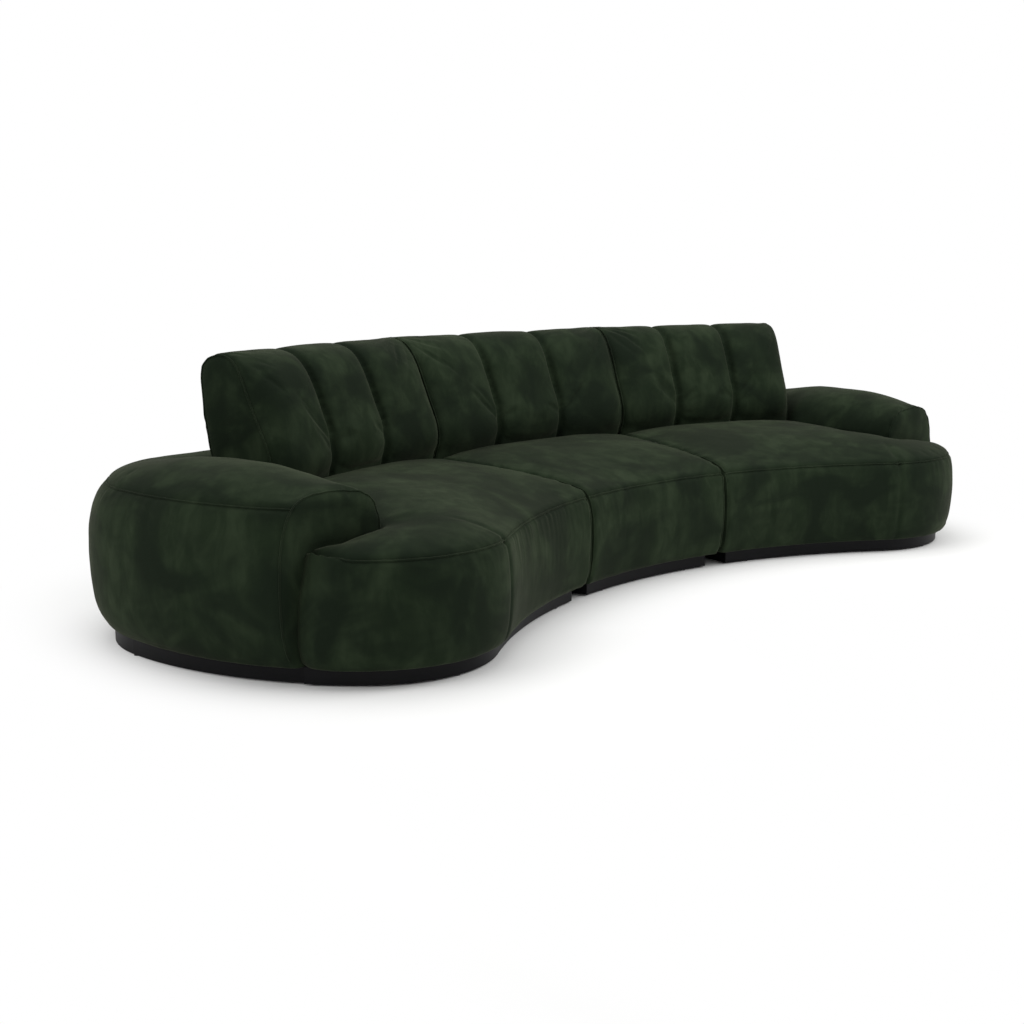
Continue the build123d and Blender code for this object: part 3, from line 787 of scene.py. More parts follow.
@dataclass
class EndSeat(SeatCover):
    """The seat of an end module, with its round corner and the nose before the arm."""

    nose_dip: float = 0.028
    nose_turn: tuple[float, float] = (0.075, 0.145)
    dip_length: float = 0.25
    dip_reach: float = 0.07
    arm_edge: float = 0.010
    corner_bearing: float = 208.7

    def __post_init__(self) -> None:
        """Draws the front seam, which the top is measured from."""
        self.front_line = self.front(PLAN.seat_seam_draw)
        self.front_track = Track(self.front_line)

    def front(self, inset: float) -> Points:
        """Plan line of the front, from the arm's face to the joint."""
        g = PLAN.side_point(inset, PLAN.face_y - PLAN.soft_gap)
        h = PLAN.cap_point(inset)
        k = PLAN.front_point(inset)
        a = PLAN.joint(PLAN.front_center, PLAN.front_radius + inset, PLAN.joint_half)
        side = self.turned(arc(PLAN.side_center, g, h, 40), g[1], self.nose_turn[1])
        return np.vstack((side, arc(PLAN.cap_center, h, k, 60), arc(PLAN.front_center, k, a, 70), a))

    def turned(self, side: Points, nose_y: float, radius: float) -> Points:
        """Side line that rounds inwards before the arm's face."""
        away = side - PLAN.side_center
        inward = -away / np.linalg.norm(away, axis=1)[:, None]
        return side + inward * edge_drop(nose_y - side[:, 1], radius)[:, None]

    def outline(self, front: float, side: float, share: float = 1.0) -> Points:
        """Plan outline at a front and a side inset, and at a share of the height."""
        off = PLAN.joint_half + side
        rear = PLAN.seat_rear_radius - side
        arm_x = PLAN.arm_inner_x - PLAN.soft_gap - side
        nose_y = PLAN.face_y - PLAN.soft_gap - side
        a = PLAN.joint(PLAN.front_center, PLAN.front_radius + front, off)
        b = PLAN.joint(PLAN.back_center, rear, off)
        d = np.array((arm_x, PLAN.back_center[1] + math.sqrt(rear * rear - arm_x * arm_x)))
        f = np.array((arm_x, nose_y))
        g = PLAN.side_point(front, nose_y)
        h, k = PLAN.cap_point(front), PLAN.front_point(front)
        turn = float(np.interp(share, (0.0, 1.0), self.nose_turn))
        outer = self.turned(arc(PLAN.side_center, g, h, 40), nose_y, turn)
        return np.vstack((
            run(a, b, 60), arc(PLAN.back_center, b, d, 80), run(d, f, 55), run(f, outer[0], 30),
            outer, arc(PLAN.cap_center, h, k, 60), arc(PLAN.front_center, k, a, 70),
        ))

    def front_gap(self, flat: Points) -> Points:
        """Distance in plan behind the front seam."""
        return self.front_track.near_flat(lift(flat, 0.0))

    def arm_gap(self, flat: Points) -> Points:
        """Distance in plan from the arm's inner side and face."""
        beside = PLAN.arm_inner_x - PLAN.soft_gap - flat[:, 0]
        before = PLAN.face_y - PLAN.soft_gap - flat[:, 1]
        inside = np.hypot(np.clip(beside, 0.0, None), np.clip(before, 0.0, None))
        return np.where((beside > 0.0) & (before > 0.0), inside, np.maximum(beside, before))

    def height(self, flat: Points) -> Points:
        """Height of the top, which dips towards the arm."""
        gap = np.clip(self.arm_gap(flat), 0.0, None)
        before = smoothstep(PLAN.face_y + self.dip_length - flat[:, 1], 0.0, self.dip_length)
        dip = self.nose_dip * (0.35 + 0.65 * before) * np.exp(-gap / self.dip_reach)
        behind = self.front_gap(flat)
        dip *= smoothstep(behind, 0.0, 0.10)
        return super().height(flat) - dip - edge_drop(gap, self.arm_edge) * smoothstep(behind, 0.0, 0.03)

    def held(self, places: Points) -> Points:
        """The walls by the arm are held as well."""
        return super().held(places) | (self.arm_gap(places[:, :2]) < 0.015)

    def corner(self, inset: float) -> Points:
        """Plan point of the upright seam on the round corner."""
        return PLAN.cap_center + (PLAN.cap_radius - inset) * unit(self.corner_bearing)

    def seams(self) -> list[Seam]:
        """Front seam, joint edge, front corner, the upright seam on the round corner and its crease."""
        off = PLAN.joint_half + 0.001
        a = PLAN.joint(PLAN.front_center, PLAN.front_radius + PLAN.seat_seam_draw, off)
        b = PLAN.joint(PLAN.back_center, PLAN.seat_rear_radius - 0.01, off)
        start = self.corner(PLAN.seat_seam_draw)
        inward = -unit(self.corner_bearing)
        bend = np.array((inward[1], -inward[0]))
        share = np.linspace(0.0, 1.0, 20)[:, None]
        crease = start + inward * 0.19 * share + bend * 0.035 * share ** 2
        face = np.array([(x, PLAN.face_y - PLAN.soft_gap - 0.001)
                         for x in np.linspace(PLAN.arm_inner_x, self.front_line[0, 0], 30)])
        return [
            Seam(lift(self.front_line, PLAN.seat_seam_z), 0.006, welt=0.0028, gather=0.0024, reach=0.06),
            Seam(self.joint_seam(np.vstack((run(a, b, 40), b))), 0.001),
            Seam(self.front_edge(
                lambda i: PLAN.joint(PLAN.front_center, PLAN.front_radius + i, off)), 0.001),
            Seam(self.front_edge(self.corner, 0.06), 0.0045, welt=0.0),
            Seam(self.joint_seam(crease), 0.0055, 0.013, welt=0.0, fade=True),
            Seam(self.joint_seam(face), 0.002, welt=0.0),
        ]


@dataclass
class WrapCover(Cover):
    """A long bolster with a full outer side and a crowned top: the arms and the rear bolster."""

    outer_z: tuple[float, ...] = (0.047, 0.066, 0.090, 0.130, 0.190, 0.260, 0.340, 0.392, 0.430, 0.462)
    outer_in: tuple[float, ...] = (0.036, 0.024, 0.014, 0.006, 0.0015, 0.0, 0.003, 0.010, 0.020, 0.036)
    across_at: tuple[float, ...] = (
        0.0, 0.013, 0.05, 0.105, 0.20, 0.31, 0.45, 0.62, 0.76, 0.86, 0.93, 0.97, 1.0)
    across_z: tuple[float, ...] = (
        0.405, 0.430, 0.450, 0.466, 0.483, 0.491, 0.495, 0.496, 0.493, 0.488, 0.480, 0.472, 0.463)
    wide: float = 0.28
    wide_gain: float = 0.33
    wide_limits: tuple[float, float] = (-0.012, 0.040)
    joint_edge: float = 0.008
    seam_draw: float = 0.036
    rear_gain: float = 0.55

    def __post_init__(self) -> None:
        """Draws the inner and outer lines, which the top is measured between."""
        self.outer_track = Track(self.outer(self.seam_draw))
        self.inner_track = Track(self.inner())
        self.rim_track = Track(self.outer(0.0))

    def outer(self, inset: float) -> Points:
        """Plan line of the outer side."""
        raise NotImplementedError

    def inner(self) -> Points:
        """Plan line of the inner side."""
        raise NotImplementedError

    def outline(self, outer: float) -> Points:
        """Closed plan outline at an outer inset."""
        raise NotImplementedError

    def height(self, flat: Points) -> Points:
        """Height of the top: a rounded inner edge, a crown and a lower outer seam."""
        places = lift(flat, 0.0)
        out, into = self.outer_track.near_flat(places), self.inner_track.near_flat(places)
        width = np.maximum(out + into, 1e-6)
        share = into / width
        extra = np.clip((width - self.wide) * self.wide_gain, *self.wide_limits)
        lift_share = np.clip(4.0 * share * (1.0 - share), 0.0, 1.0) ** 0.7
        top = np.interp(share, self.across_at, self.across_z) + extra * lift_share
        return top - edge_drop(self.joint_gap(flat), self.joint_edge)

    def rings(self) -> list[Points]:
        """Rings of the walls, from the bottom to the seams around the top."""
        top = self.height(self.outline(self.seam_draw))
        made = []
        for z, outer in zip(self.outer_z, self.outer_in):
            share = (z - self.bottom) / (PLAN.arm_seam_z - self.bottom)
            made.append(lift(self.outline(outer), self.bottom + (top - self.bottom) * share))
        return made

    def seam_inset(self, along: Points) -> Points:
        """Inset of the outer seam at lengths along the outer side."""
        return np.full(len(along), self.seam_draw * (1.0 + self.rear_gain))

    def drape(self, places: Points, facing: Points) -> Points:
        """Lays the top, inside the outer seam, on its crown."""
        laid = places.copy()
        gap, along = self.rim_track.near(lift(places[:, :2], 0.0))
        top = (facing[:, 2] > 0.35) & (places[:, 2] > 0.37) & (gap > self.seam_inset(along) - 0.002)
        laid[top, 2] = self.height(places[top, :2])
        return laid

    def held(self, places: Points) -> Points:
        """The underside, the joint walls, the inner side and the outer seam are held."""
        flat = lift(places[:, :2], 0.0)
        inner = (self.inner_track.near_flat(flat) < 0.014) & (places[:, 2] < 0.40)
        level = np.abs(places[:, 2] - PLAN.arm_seam_z) < 0.010
        seam = level & (self.outer_track.near_flat(flat) < HELD_NEAR)
        return super().held(places) | inner | seam | (self.joint_gap(places[:, :2]) < HELD_NEAR)


@dataclass
class ArmCover(WrapCover):
    """An arm that turns the rear corner and runs behind the backrest to the module joint."""

    def corners(self, outer: float) -> tuple[Points, ...]:
        """Plan corners of the arm, from the inner front corner round the outside."""
        rear = PLAN.rear_radius - outer
        start = np.array((PLAN.arm_inner_x, PLAN.face_y))
        u = PLAN.joint(PLAN.rear_center, rear, PLAN.joint_half)
        v = PLAN.joint(PLAN.back_center, PLAN.bolster_radius, PLAN.joint_half)
        w = PLAN.end_line(PLAN.bolster_radius, PLAN.soft_gap)
        reach = start[0] - right_of(PLAN.back_end_angle)[0] * PLAN.soft_gap
        reach /= unit(PLAN.back_end_angle)[0]
        x = PLAN.end_line(math.hypot(reach, PLAN.soft_gap), PLAN.soft_gap)
        g = PLAN.side_point(outer, PLAN.face_y)
        s = np.array((PLAN.half_width - outer, PLAN.side_center[1]))
        return start, g, s, PLAN.rear_turn(outer), u, v, w, x

    def outer(self, inset: float) -> Points:
        """Plan line of the outer side, from the face to the joint, drawn in more towards the rear."""
        _, g, s, t, u, _, _, _ = self.corners(inset)
        line = np.vstack((
            arc(PLAN.side_center, g, s, SIDE_POINTS),
            arc(PLAN.corner_center, s, t, 50),
            arc(PLAN.rear_center, t, u, 85),
            u,
        ))
        heading = np.gradient(line, axis=0)
        inward = np.column_stack((-heading[:, 1], heading[:, 0])) / np.linalg.norm(heading, axis=1)[:, None]
        more = inset * self.rear_gain * smoothstep(np.arange(len(line)), 0.0, float(SIDE_POINTS))
        moved = line + inward * more[:, None]
        reach = PLAN.rear_radius - inset * (1.0 + self.rear_gain)
        moved[-1] = PLAN.joint(PLAN.rear_center, reach, PLAN.joint_half)
        return moved

    def inner(self) -> Points:
        """Plan line of the inner side, from the joint to the face."""
        start, _, _, _, _, v, w, x = self.corners(0.0)
        return np.vstack((arc(PLAN.back_center, v, w, 75), run(w, x, 30), run(x, start, 50), start))

    def outline(self, outer: float) -> Points:
        """Closed plan outline at an outer inset."""
        start, g, _, _, _, v, _, _ = self.corners(outer)
        line = self.outer(outer)
        return np.vstack((run(start, g, 30), line[:-1], run(line[-1], v, 25), self.inner()[:-1]))

    def seam_inset(self, along: Points) -> Points:
        """Inset of the outer seam, which grows along the side."""
        side = Track(self.outer(0.0)[:SIDE_POINTS + 1]).length
        return self.seam_draw * (1.0 + self.rear_gain * smoothstep(along, 0.0, side))

    def held(self, places: Points) -> Points:
        """The lower part of the flat face is held as well."""
        return super().held(places) | ((places[:, 1] < PLAN.face_y + 0.014) & (places[:, 2] < 0.36))

    def seams(self) -> list[Seam]:
        """The seam round the face, the outer top seam and the joint edge."""
        heights = np.linspace(0.07, PLAN.arm_seam_z, 30)
        side = np.array([np.append(PLAN.side_point(i, PLAN.face_y + 0.001), z)
                         for i, z in zip(np.interp(heights, self.outer_z, self.outer_in), heights)])
        ends = side[-1, 0], PLAN.arm_inner_x
        over = np.array([(x, PLAN.face_y + 0.001) for x in np.linspace(*ends, 50)])
        down = np.array([(PLAN.arm_inner_x, PLAN.face_y + 0.001, z) for z in np.linspace(0.400, 0.350, 6)])
        u, v = self.outer(self.seam_draw)[-1], self.corners(0.0)[5]
        joint = np.vstack((run(u, v, 20), v)) + right_of(PLAN.module_angle) * 0.001
        return [
            Seam(np.vstack((side, lift(over, self.height(over))[1:], down)), 0.0012),
            Seam(lift(self.outer(self.seam_draw), PLAN.arm_seam_z), 0.005, welt=0.0026, gather=0.0014),
            Seam(lift(joint, self.height(joint)), 0.001),
        ]


@dataclass
class BolsterCover(WrapCover):
    """The rear bolster of the centre module."""

    def ends(self, outer: float) -> tuple[Points, Points]:
        """Right-hand corners, at the rear and behind the backrest."""
        reach = PLAN.rear_radius - outer * (1.0 + self.rear_gain)
        u = PLAN.joint(PLAN.rear_center, reach, -PLAN.joint_half)
        return u, PLAN.joint(PLAN.back_center, PLAN.bolster_radius, -PLAN.joint_half)

    def outer(self, inset: float) -> Points:
        """Plan line of the rear."""
        u = self.ends(inset)[0]
        left = u * FLIP
        return np.vstack((arc(PLAN.rear_center, u, left, 90), left))

    def inner(self) -> Points:
        """Plan line behind the backrest."""
        v = self.ends(0.0)[1]
        left = v * FLIP
        return np.vstack((arc(PLAN.back_center, left, v, 90), v))

    def outline(self, outer: float) -> Points:
        """Closed plan outline at an outer inset."""
        u, v = self.ends(outer)
        return np.vstack((
            self.inner()[:-1], run(v, u, 25), self.outer(outer)[:-1], run(u * FLIP, v * FLIP, 25),
        ))

    def seams(self) -> list[Seam]:
        """The rear top seam and both joint edges."""
        u, v = self.ends(self.seam_draw)
        made = [Seam(lift(self.outer(self.seam_draw), PLAN.arm_seam_z), 0.005, welt=0.0026, gather=0.0014)]
        for turn in (STAY, FLIP):
            joint = (np.vstack((run(u, v, 20), v)) - right_of(PLAN.module_angle) * 0.001) * turn
            made.append(Seam(lift(joint, self.height(joint)), 0.001))
        return made


def spline(points: Points, count: int) -> Points:
    """Smooth line through points, the last one left out.

    Args:
        points: The points, in order.
        count: How many places to return for each stretch between two points.

    Returns:
        The line's places.
    """
    padded = np.vstack((2.0 * points[0] - points[1], points, 2.0 * points[-1] - points[-2]))
    share = np.arange(count)[:, None] / count
    made = []
    for a, b, c, d in zip(padded, padded[1:], padded[2:], padded[3:]):
        bend = 2.0 * a - 5.0 * b + 4.0 * c - d + share * (3.0 * (b - c) + d - a)
        made.append(b + 0.5 * share * (c - a + share * bend))
    return np.vstack(made)


@dataclass
class BackCover(Cover):
    """A backrest of three channels with a full belly and a rolled top."""

    stations: int = 96
    channels: int = 3
    lobe: float = 0.031
    crest: float = 0.004
    end_draw: float = 0.0
    end_round: float = 0.0
    side: tuple[tuple[float, float, float], ...] = (
        (0.018, 0.400, 0.33), (0.013, 0.430, 0.40), (0.003, 0.458, 0.75), (0.000, 0.500, 0.95),
        (0.011, 0.545, 1.0), (0.037, 0.605, 1.0), (0.070, 0.686, 1.0), (0.091, 0.733, 0.90),
        (0.118, 0.774, 0.70), (0.151, 0.801, 0.45), (0.191, 0.812, 0.25), (0.231, 0.806, 0.15),
        (0.261, 0.785, 0.05), (0.274, 0.748, 0.0), (0.273, 0.700, 0.0), (0.265, 0.612, 0.0),
        (0.254, 0.535, 0.0), (0.240, 0.490, 0.0), (0.221, 0.452, 0.0), (0.208, 0.400, 0.0),
    )
    crest_ramp: tuple[float, float] = (0.75, 0.80)
    round_ramp: tuple[float, float] = (0.06, 0.18)
    foot: float = 0.194
    bottom: float = 0.192
    voxel: float = 0.010

    def span(self) -> tuple[float, float, float, float, float, float]:
        """Bearings, turns and insets of both end planes."""
        raise NotImplementedError

    def plane(self, share: float) -> tuple[Points, Points]:
        """Origin and outward direction of the section at a share of the length."""
        first, last, turn_a, turn_b, inset_a, inset_b = self.span()
        turn = turn_a + (turn_b - turn_a) * share
        origin = PLAN.back_center + PLAN.back_radius * unit(first + (last - first) * share)
        return origin + right_of(turn) * (inset_a + (inset_b - inset_a) * share), unit(turn)

    def rounding(self, share: float) -> float:
        """How far the crest and the rear are drawn in at a share of the length."""
        first, last = self.span()[:2]
        gap = self.end_round - (1.0 - share) * (last - first) * PLAN.back_radius
        return self.end_round - math.sqrt(self.end_round ** 2 - gap ** 2) if gap > 0.0 else 0.0

    def profile(self, full: float, inset: float) -> Points:
        """Closed side view.

        Args:
            full: Fullness, from 0 on a seam to 1 in mid-channel.
            inset: How far the crest and the rear are drawn in.

        Returns:
            Set and height of its points.
        """
        side = np.array(self.side)
        line = side[:, :2] - np.column_stack((side[:, 2] * self.lobe * full, np.zeros(len(side))))
        line[:, 1] += self.crest * full * smoothstep(side[:, 1], *self.crest_ramp)
        along = np.gradient(side[:, :2], axis=0)
        inward = np.column_stack((along[:, 1], -along[:, 0])) / np.linalg.norm(along, axis=1)[:, None]
        line += inward * (inset * smoothstep(side[:, 0], *self.round_ramp))[:, None]
        foot, heel = np.array((self.foot, self.bottom)), np.array((PLAN.back_heel, self.bottom))
        return np.vstack((
            run(foot, heel, 16), run(heel, line[0], 20), spline(line, 7), run(line[-1], foot, 24),
        ))

    def section(self, share: float, full: float) -> Points:
        """Section in space at a share of the length."""
        origin, out = self.plane(share)
        side = self.profile(full, self.rounding(share))
        return lift(origin + side[:, :1] * out, side[:, 1])

    def rings(self) -> list[Points]:
        """Sections from one end to the other."""
        made = []
        for i in range(self.stations + 1):
            share = i / self.stations
            made.append(self.section(share, self.fullness(share)))
        return made

    def fullness(self, share: float) -> float:
        """How full the channel is: 1 in its middle, 0 on a seam and less at a drawn-back end."""
        across = (share * self.channels) % 1.0 if share < 1.0 else 1.0
        draw = 1.0 + self.end_draw if share > 1.0 - 0.5 / self.channels else 1.0
        return 1.0 - draw * abs(2.0 * across - 1.0) ** 4.0

    def lines(self, places: Points) -> Points:
        """Distance from each place to the end planes, in metres."""
        gaps = []
        for share, sign in ((0.0, 1.0), (1.0, -1.0)):
            origin, out = self.plane(share)
            gaps.append(sign * (places[:, :2] - origin) @ np.array((out[1], -out[0])))
        return np.minimum(*gaps)

    def held(self, places: Points) -> Points:
        """The ends, the foot and the rear are held."""
        return (places[:, 2] < 0.40) | (self.lines(places) < HELD_NEAR)

    def seams(self) -> list[Seam]:
        """The lines between the channels and the piped edges of both ends."""
        made = []
        for i in range(1, self.channels):
            line = self.section(i / self.channels, 0.0)
            made.append(Seam(line[FRONT_STRETCH], 0.014, 0.013, welt=0.0))
        for share in (0.001, 0.999):
            line = self.section(share, self.fullness(round(share)))
            made.append(Seam(line[EDGE_STRETCH], 0.002, welt=0.0028))
        return made


@dataclass
class CenterBack(BackCover):
    """The middle backrest."""

    def span(self) -> tuple[float, float, float, float, float, float]:
        """Bearings, turns and insets of both end planes."""
        end = bearing(PLAN.joint(PLAN.back_center, PLAN.back_radius, 0.0), PLAN.back_center)
        return -end, end, -PLAN.module_angle, PLAN.module_angle, PLAN.joint_half, -PLAN.joint_half


@dataclass
class EndBack(BackCover):
    """The backrest of an end module, whose outer end is drawn back to a flat panel."""

    end_draw: float = 1.25
    end_round: float = 0.030

    def span(self) -> tuple[float, float, float, float, float, float]:
        """Bearings, turns and insets of both end planes."""
        start = bearing(PLAN.joint(PLAN.back_center, PLAN.back_radius, 0.0), PLAN.back_center)
        return start, PLAN.back_end_angle, PLAN.module_angle, PLAN.back_end_angle, PLAN.joint_half, 0.0


# Finishes


def linear(code: str) -> tuple[float, float, float, float]:
    """Linear colour of an sRGB hex code."""
    parts = [int(code[i:i + 2], 16) / 255.0 for i in (1, 3, 5)]
    return tuple(p / 12.92 if p <= 0.04045 else ((p + 0.055) / 1.055) ** 2.4 for p in parts) + (1.0,)


Socket = bpy.types.NodeSocket
Triple = tuple[float, float, float]


class Graph:
    """A material's nodes."""

    def __init__(self, name: str) -> None:
        """Starts an empty material.

        Args:
            name: Name of the material.
        """
        self.material = bpy.data.materials.new(name)
        self.material.use_nodes = True
        self.tree = self.material.node_tree
        self.tree.nodes.clear()

    def add(
        self, kind: str, inputs: Optional[dict[str | int, object]] = None, **settings: object,
    ) -> bpy.types.Node:
        """Adds a node.

        Args:
            kind: Type of the node.
            inputs: Values of its inputs, or the sockets that feed them.
            **settings: Properties of the node.

        Returns:
            The node.
        """
        node = self.tree.nodes.new(kind)
        for key, value in settings.items():
            setattr(node, key, value)
        for key, value in (inputs or {}).items():
            if isinstance(value, Socket):
                self.tree.links.new(value, node.inputs[key])
            else:
                node.inputs[key].default_value = value
        return node

    def blend(self, share: Socket, low: object, high: object) -> Socket:
        """Mix of two colours."""
        mix = self.add("ShaderNodeMix", {"Factor": share}, data_type="RGBA")
        for socket, value in ((mix.inputs[6], low), (mix.inputs[7], high)):
            if isinstance(value, Socket):
                self.tree.links.new(value, socket)
            else:
                socket.default_value = value
        return mix.outputs[2]

    def math(self, operation: str, first: object, second: object = 0.0) -> Socket:
        """Sum, product or other operation on two values, each a number or a socket."""
        return self.add("ShaderNodeMath", {0: first, 1: second}, operation=operation).outputs[0]

    def distance(self, place: Socket, spot: Triple) -> Socket:
        """Distance of a place from a spot."""
        return self.add("ShaderNodeVectorMath", {0: place, 1: spot}, operation="DISTANCE").outputs["Value"]

    def ramp(self, value: Socket, low: float, high: float) -> Socket:
        """Soft ramp of a value from 0 at low to 1 at high."""
        node = self.add("ShaderNodeMapRange", {"Value": value, "From Min": low, "From Max": high},
                        interpolation_type="SMOOTHSTEP")
        return node.outputs["Result"]

    def lumps(self, size: float, detail: float = 2.0, stretch: Triple = (1.0, 1.0, 1.0),
              distort: float = 0.0) -> Socket:
        """Noise in object space.

        Args:
            size: Size of its lumps, in metres.
            detail: Number of finer layers.
            stretch: How much longer the lumps are along each axis.
            distort: How much they swirl.

        Returns:
            The noise value's socket.
        """
        place = self.add("ShaderNodeTexCoord").outputs["Object"]
        scale = tuple(1.0 / (size * s) for s in stretch)
        moved = self.add("ShaderNodeMapping", {"Vector": place, "Scale": scale}).outputs["Vector"]
        node = self.add("ShaderNodeTexNoise", {"Vector": moved, "Scale": 1.0, "Detail": detail,
                                               "Roughness": 0.55, "Distortion": distort})
        return node.outputs["Fac"]

    def surface(self, inputs: dict[str | int, object]) -> bpy.types.Material:
        """Ends the graph with a principled surface."""
        shader = self.add("ShaderNodeBsdfPrincipled", inputs)
        self.add("ShaderNodeOutputMaterial", {"Surface": shader.outputs["BSDF"]})
        return self.material


@dataclass(frozen=True)
class Velvet:
    """Dark green velvet: a deep ground, brushed paler patches and a light rim where the pile turns away."""

    name: str = "green_velvet"
    ground: str = "#171f16"
    pile: str = "#1d271a"
    brushed: str = "#2a3425"
    patch: float = 0.22
    stroke: float = 0.055
    fibre: float = 0.0016
    roughness: float = 0.8
    shine: float = 0.03
    sheen: float = 0.28
    sheen_roughness: float = 0.36
    sheen_tint: str = "#8f917d"

    def material(self) -> bpy.types.Material:
        """Builds the material."""
        graph = Graph(self.name)
        patch = graph.ramp(graph.lumps(self.patch, 3.0, (1.0, 1.0, 0.8), 0.7), 0.36, 0.68)
        stroke = graph.ramp(graph.lumps(self.stroke, 3.0, (1.0, 1.0, 2.2), 0.5), 0.30, 0.75)
        colour = graph.blend(patch, linear(self.ground), linear(self.pile))
        both = graph.math("MULTIPLY", patch, stroke)
        colour = graph.blend(both, colour, linear(self.brushed))
        nap = graph.add("ShaderNodeBump", {"Height": graph.lumps(self.stroke, 3.0, (1.0, 1.0, 1.6), 0.6),
                                           "Strength": 0.25, "Distance": 0.004})
        pile = graph.add("ShaderNodeBump", {"Height": graph.lumps(self.fibre, 1.0), "Strength": 0.35,
                                            "Distance": 0.0006, "Normal": nap.outputs["Normal"]})
        return graph.surface({
            "Base Color": colour, "Roughness": self.roughness, "Specular IOR Level": self.shine,
            "Normal": pile.outputs["Normal"], "Sheen Weight": self.sheen,
            "Sheen Roughness": self.sheen_roughness, "Sheen Tint": linear(self.sheen_tint),
        })


@dataclass(frozen=True)
class Finish:
    """A plain finish: two close colours in a grain, with a matching roughness and relief."""

    name: str
    low: str
    high: str
    grain: float
    stretch: Triple = (1.0, 1.0, 1.0)
    roughness: float = 0.5
    metallic: float = 0.0
    relief: float = 0.0001
    shine: float = 0.5

    def material(self) -> bpy.types.Material:
        """Builds the material."""
        graph = Graph(self.name)
        grain = graph.lumps(self.grain, 3.0, self.stretch, 0.3)
        bump = graph.add("ShaderNodeBump", {"Height": grain, "Strength": 0.4, "Distance": self.relief})
        return graph.surface({
            "Base Color": graph.blend(graph.ramp(grain, 0.3, 0.7), linear(self.low), linear(self.high)),
            "Roughness": self.roughness, "Metallic": self.metallic, "Specular IOR Level": self.shine,
            "Normal": bump.outputs["Normal"],
        })


FINISHES: dict[str, Velvet | Finish] = {
    "velvet": Velvet(),
    # Softwood rails: long pale grain
    "timber": Finish("planed_softwood", "#b98f62", "#d3ad7e", 0.008, (1.0, 12.0, 1.0), 0.6),
    # Birch plywood: even, pale and faintly streaked
    "plywood": Finish("birch_plywood", "#c3a071", "#d9bd90", 0.010, (9.0, 1.0, 1.0), 0.6),
    # Satin black lacquer: almost even, with a soft broad shine
    "black_plinth": Finish(
        "black_lacquer", "#09090b", "#0e0e10", 0.050, (4.0, 4.0, 1.0), 0.45, relief=0.00004, shine=0.12),
    # Moulded plastic: matte and even
    "glide_plastic": Finish("black_glide_plastic", "#2e2e2e", "#363636", 0.004, roughness=0.55),
    # Elastic webbing: dark brown weave
    "webbing": Finish("elastic_webbing", "#5a554c", "#716a5f", 0.003, (1.0, 3.0, 1.0), 0.9),
    # Non-woven dust cloth: flat black fleece
    "dust_cloth": Finish("dust_cloth", "#1c1c1c", "#292929", 0.004, roughness=0.95),
    # Powder coat: fine pebbled black
    "black_steel": Finish(
        "powder_coated_steel", "#303033", "#3a3a3d", 0.0012, roughness=0.5, relief=0.00008),
    # Zinc plate: grey and a little streaked
    "zinc": Finish("zinc_plate", "#b9babd", "#cfd0d3", 0.006, (1.0, 1.0, 5.0), 0.35, 1.0, 0.00003),
}


# Studio


@dataclass(frozen=True)
class Lamp:
    """A soft square lamp that looks at a point."""

    name: str
    place: Triple
    aim: Triple
    size: float
    power: float

    def build(self) -> None:
        """Hangs the lamp."""
        light = bpy.data.lights.new(self.name, "AREA")
        light.size = self.size
        light.energy = self.power
        obj = bpy.data.objects.new(self.name, light)
        obj.location = self.place
        obj.rotation_euler = (Vector(self.aim) - Vector(self.place)).to_track_quat("-Z", "Y").to_euler()
        bpy.context.scene.collection.objects.link(obj)


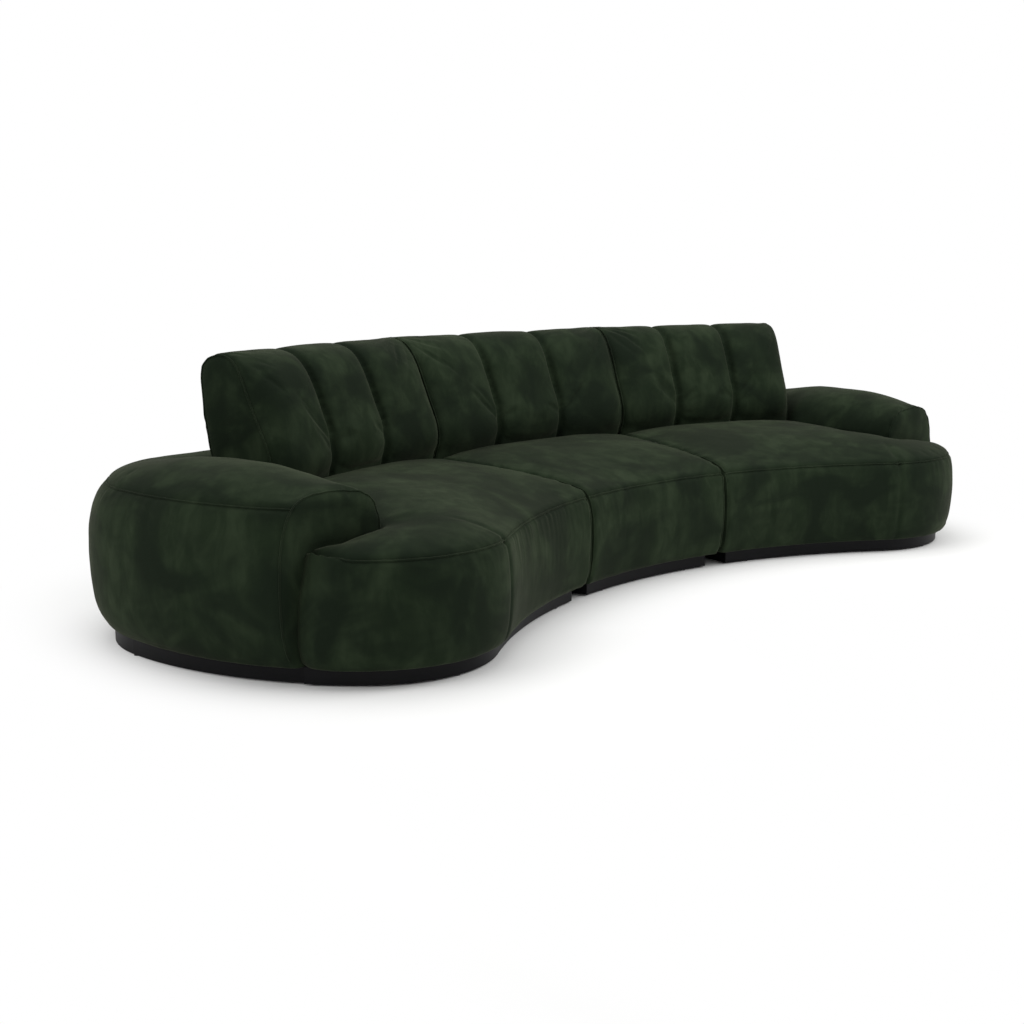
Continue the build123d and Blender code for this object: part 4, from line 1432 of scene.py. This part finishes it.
@dataclass(frozen=True)
class Studio:
    """White sweep, soft light from above and the camera of the photograph."""

    camera: Triple = (-3.582, -3.23704, 1.078)
    yaw: float = 43.907
    pitch: float = -10.667
    lens: float = 48.92
    sensor: float = 36.0
    shift: tuple[float, float] = (0.0249, 0.0073)
    floor_colour: str = "#f6f6f5"
    floor_size: float = 60.0
    near: float = 0.02
    far: float = 0.42
    end_squash: Triple = (1.0, 0.6, 1.0)
    end_spot: Triple = (1.1, -0.04, 0.0)
    end_size: float = 0.46
    rear_reach: float = 2.72
    past_ramp: tuple[float, float] = (0.85, 1.45)
    past_rise: float = 0.8
    outer_ramp: tuple[float, float] = (2.2, 3.4)
    fill: float = 0.55
    lamps: tuple[Lamp, ...] = (
        Lamp("key", (2.7, -3.3, 3.9), (0.0, 0.0, 0.4), 3.2, 148.0),
        Lamp("top", (-0.6, 0.5, 4.6), (0.0, -0.1, 0.3), 4.2, 95.0),
        Lamp("side", (-4.6, 0.6, 2.2), (-1.2, 0.0, 0.4), 2.4, 42.0),
    )

    def build(self) -> None:
        """Sets floor, world, lamps and camera."""
        deselect()
        bpy.ops.mesh.primitive_plane_add(size=self.floor_size, location=(0.0, 0.0, 0.0))
        floor = bpy.context.object
        floor.name = "floor"
        floor.data.materials.append(self.sweep())
        self.sky()
        for lamp in self.lamps:
            lamp.build()
        data = bpy.data.cameras.new("camera")
        data.lens, data.sensor_width = self.lens, self.sensor
        data.shift_x, data.shift_y = self.shift
        data.clip_end = 200.0
        camera = bpy.data.objects.new("camera", data)
        camera.location = self.camera
        camera.rotation_euler = (math.radians(90.0 + self.pitch), 0.0, -math.radians(self.yaw))
        bpy.context.scene.collection.objects.link(camera)
        bpy.context.scene.camera = camera
        bpy.context.scene.view_settings.view_transform = "Standard"

    def sweep(self) -> bpy.types.Material:
        """Pale matte floor that holds the shadow near the sofa and is white to the camera far from it."""
        graph = Graph("white_sweep")
        matte = graph.add("ShaderNodeBsdfDiffuse", {"Color": linear(self.floor_colour)})
        white = graph.add("ShaderNodeEmission", {"Color": (1.0, 1.0, 1.0, 1.0), "Strength": 1.0})
        place = graph.add("ShaderNodeTexCoord").outputs["Object"]
        axes = graph.add("ShaderNodeSeparateXYZ", {0: place}).outputs
        side = graph.math("ABSOLUTE", axes["X"])
        spot = graph.add("ShaderNodeCombineXYZ", {"X": side, "Y": axes["Y"]}).outputs[0]
        squashed = {0: spot, 1: self.end_squash}
        oval = graph.add("ShaderNodeVectorMath", squashed, operation="MULTIPLY").outputs[0]
        end = graph.math("SUBTRACT", graph.distance(oval, self.end_spot), self.end_size)
        radius = graph.distance(spot, (0.0, float(PLAN.front_center[1]), 0.0))
        hollow = graph.math("SUBTRACT", PLAN.front_radius, radius)
        rear = graph.math("SUBTRACT", radius, self.rear_reach)
        past = graph.math("MULTIPLY", graph.ramp(side, *self.past_ramp), self.past_rise)
        middle = graph.math("ADD", graph.math("MAXIMUM", hollow, rear), past)
        close = graph.ramp(graph.math("MINIMUM", end, middle), self.near, self.far)
        away = graph.ramp(graph.distance(place, (0.0, 0.0, 0.0)), *self.outer_ramp)
        far = graph.math("MAXIMUM", close, away)
        seen = graph.add("ShaderNodeLightPath").outputs["Is Camera Ray"]
        share = graph.math("MULTIPLY", far, seen)
        both = graph.add("ShaderNodeMixShader", {0: share, 1: matte.outputs[0], 2: white.outputs[0]})
        graph.add("ShaderNodeOutputMaterial", {"Surface": both.outputs[0]})
        return graph.material

    def sky(self) -> None:
        """White to the camera, a softer fill to the object."""
        world = bpy.data.worlds.new("studio")
        bpy.context.scene.world = world
        world.use_nodes = True
        tree = world.node_tree
        back = tree.nodes["Background"]
        seen = tree.nodes.new("ShaderNodeLightPath")
        level = tree.nodes.new("ShaderNodeMapRange")
        level.inputs["To Min"].default_value = self.fill
        level.inputs["To Max"].default_value = 1.0
        tree.links.new(seen.outputs["Is Camera Ray"], level.inputs["Value"])
        tree.links.new(level.outputs["Result"], back.inputs["Strength"])
        back.inputs["Color"].default_value = (1.0, 1.0, 1.0, 1.0)


@dataclass
class Sofa:
    """The whole sofa: nine padded covers over the CAD frame, and finishes for what stays CAD."""

    covers: list[Cover] = field(default_factory=lambda: [
        CenterSeat(Module.CENTER, "seat_center", 1.0),
        EndSeat(Module.LEFT, "seat_left", 2.0),
        EndSeat(Module.RIGHT, "seat_right", 3.0),
        CenterBack(Module.CENTER, "back_center", 4.0),
        EndBack(Module.LEFT, "back_left", 5.0),
        EndBack(Module.RIGHT, "back_right", 6.0),
        BolsterCover(Module.CENTER, "rear_bolster", 7.0),
        ArmCover(Module.LEFT, "arm_left", 8.0),
        ArmCover(Module.RIGHT, "arm_right", 9.0),
    ])

    def build(self) -> None:
        """Paints the CAD pieces and makes the covers."""
        made = {name: finish.material() for name, finish in FINISHES.items()}
        for part in frame["record"]["subparts"]:
            mesh = frame["nodes"][part["node"]].data
            if not mesh.materials:
                mesh.materials.append(None)
            for index in range(len(mesh.materials)):
                mesh.materials[index] = made[part["material_slot"]]
        for cover in self.covers:
            cover.build(made["velvet"])


def main() -> None:
    """Builds the sofa and the studio."""
    logging.basicConfig(level=logging.INFO, format="%(name)s %(message)s")
    Sofa().build()
    Studio().build()


if __name__ == "__main__":
    main()
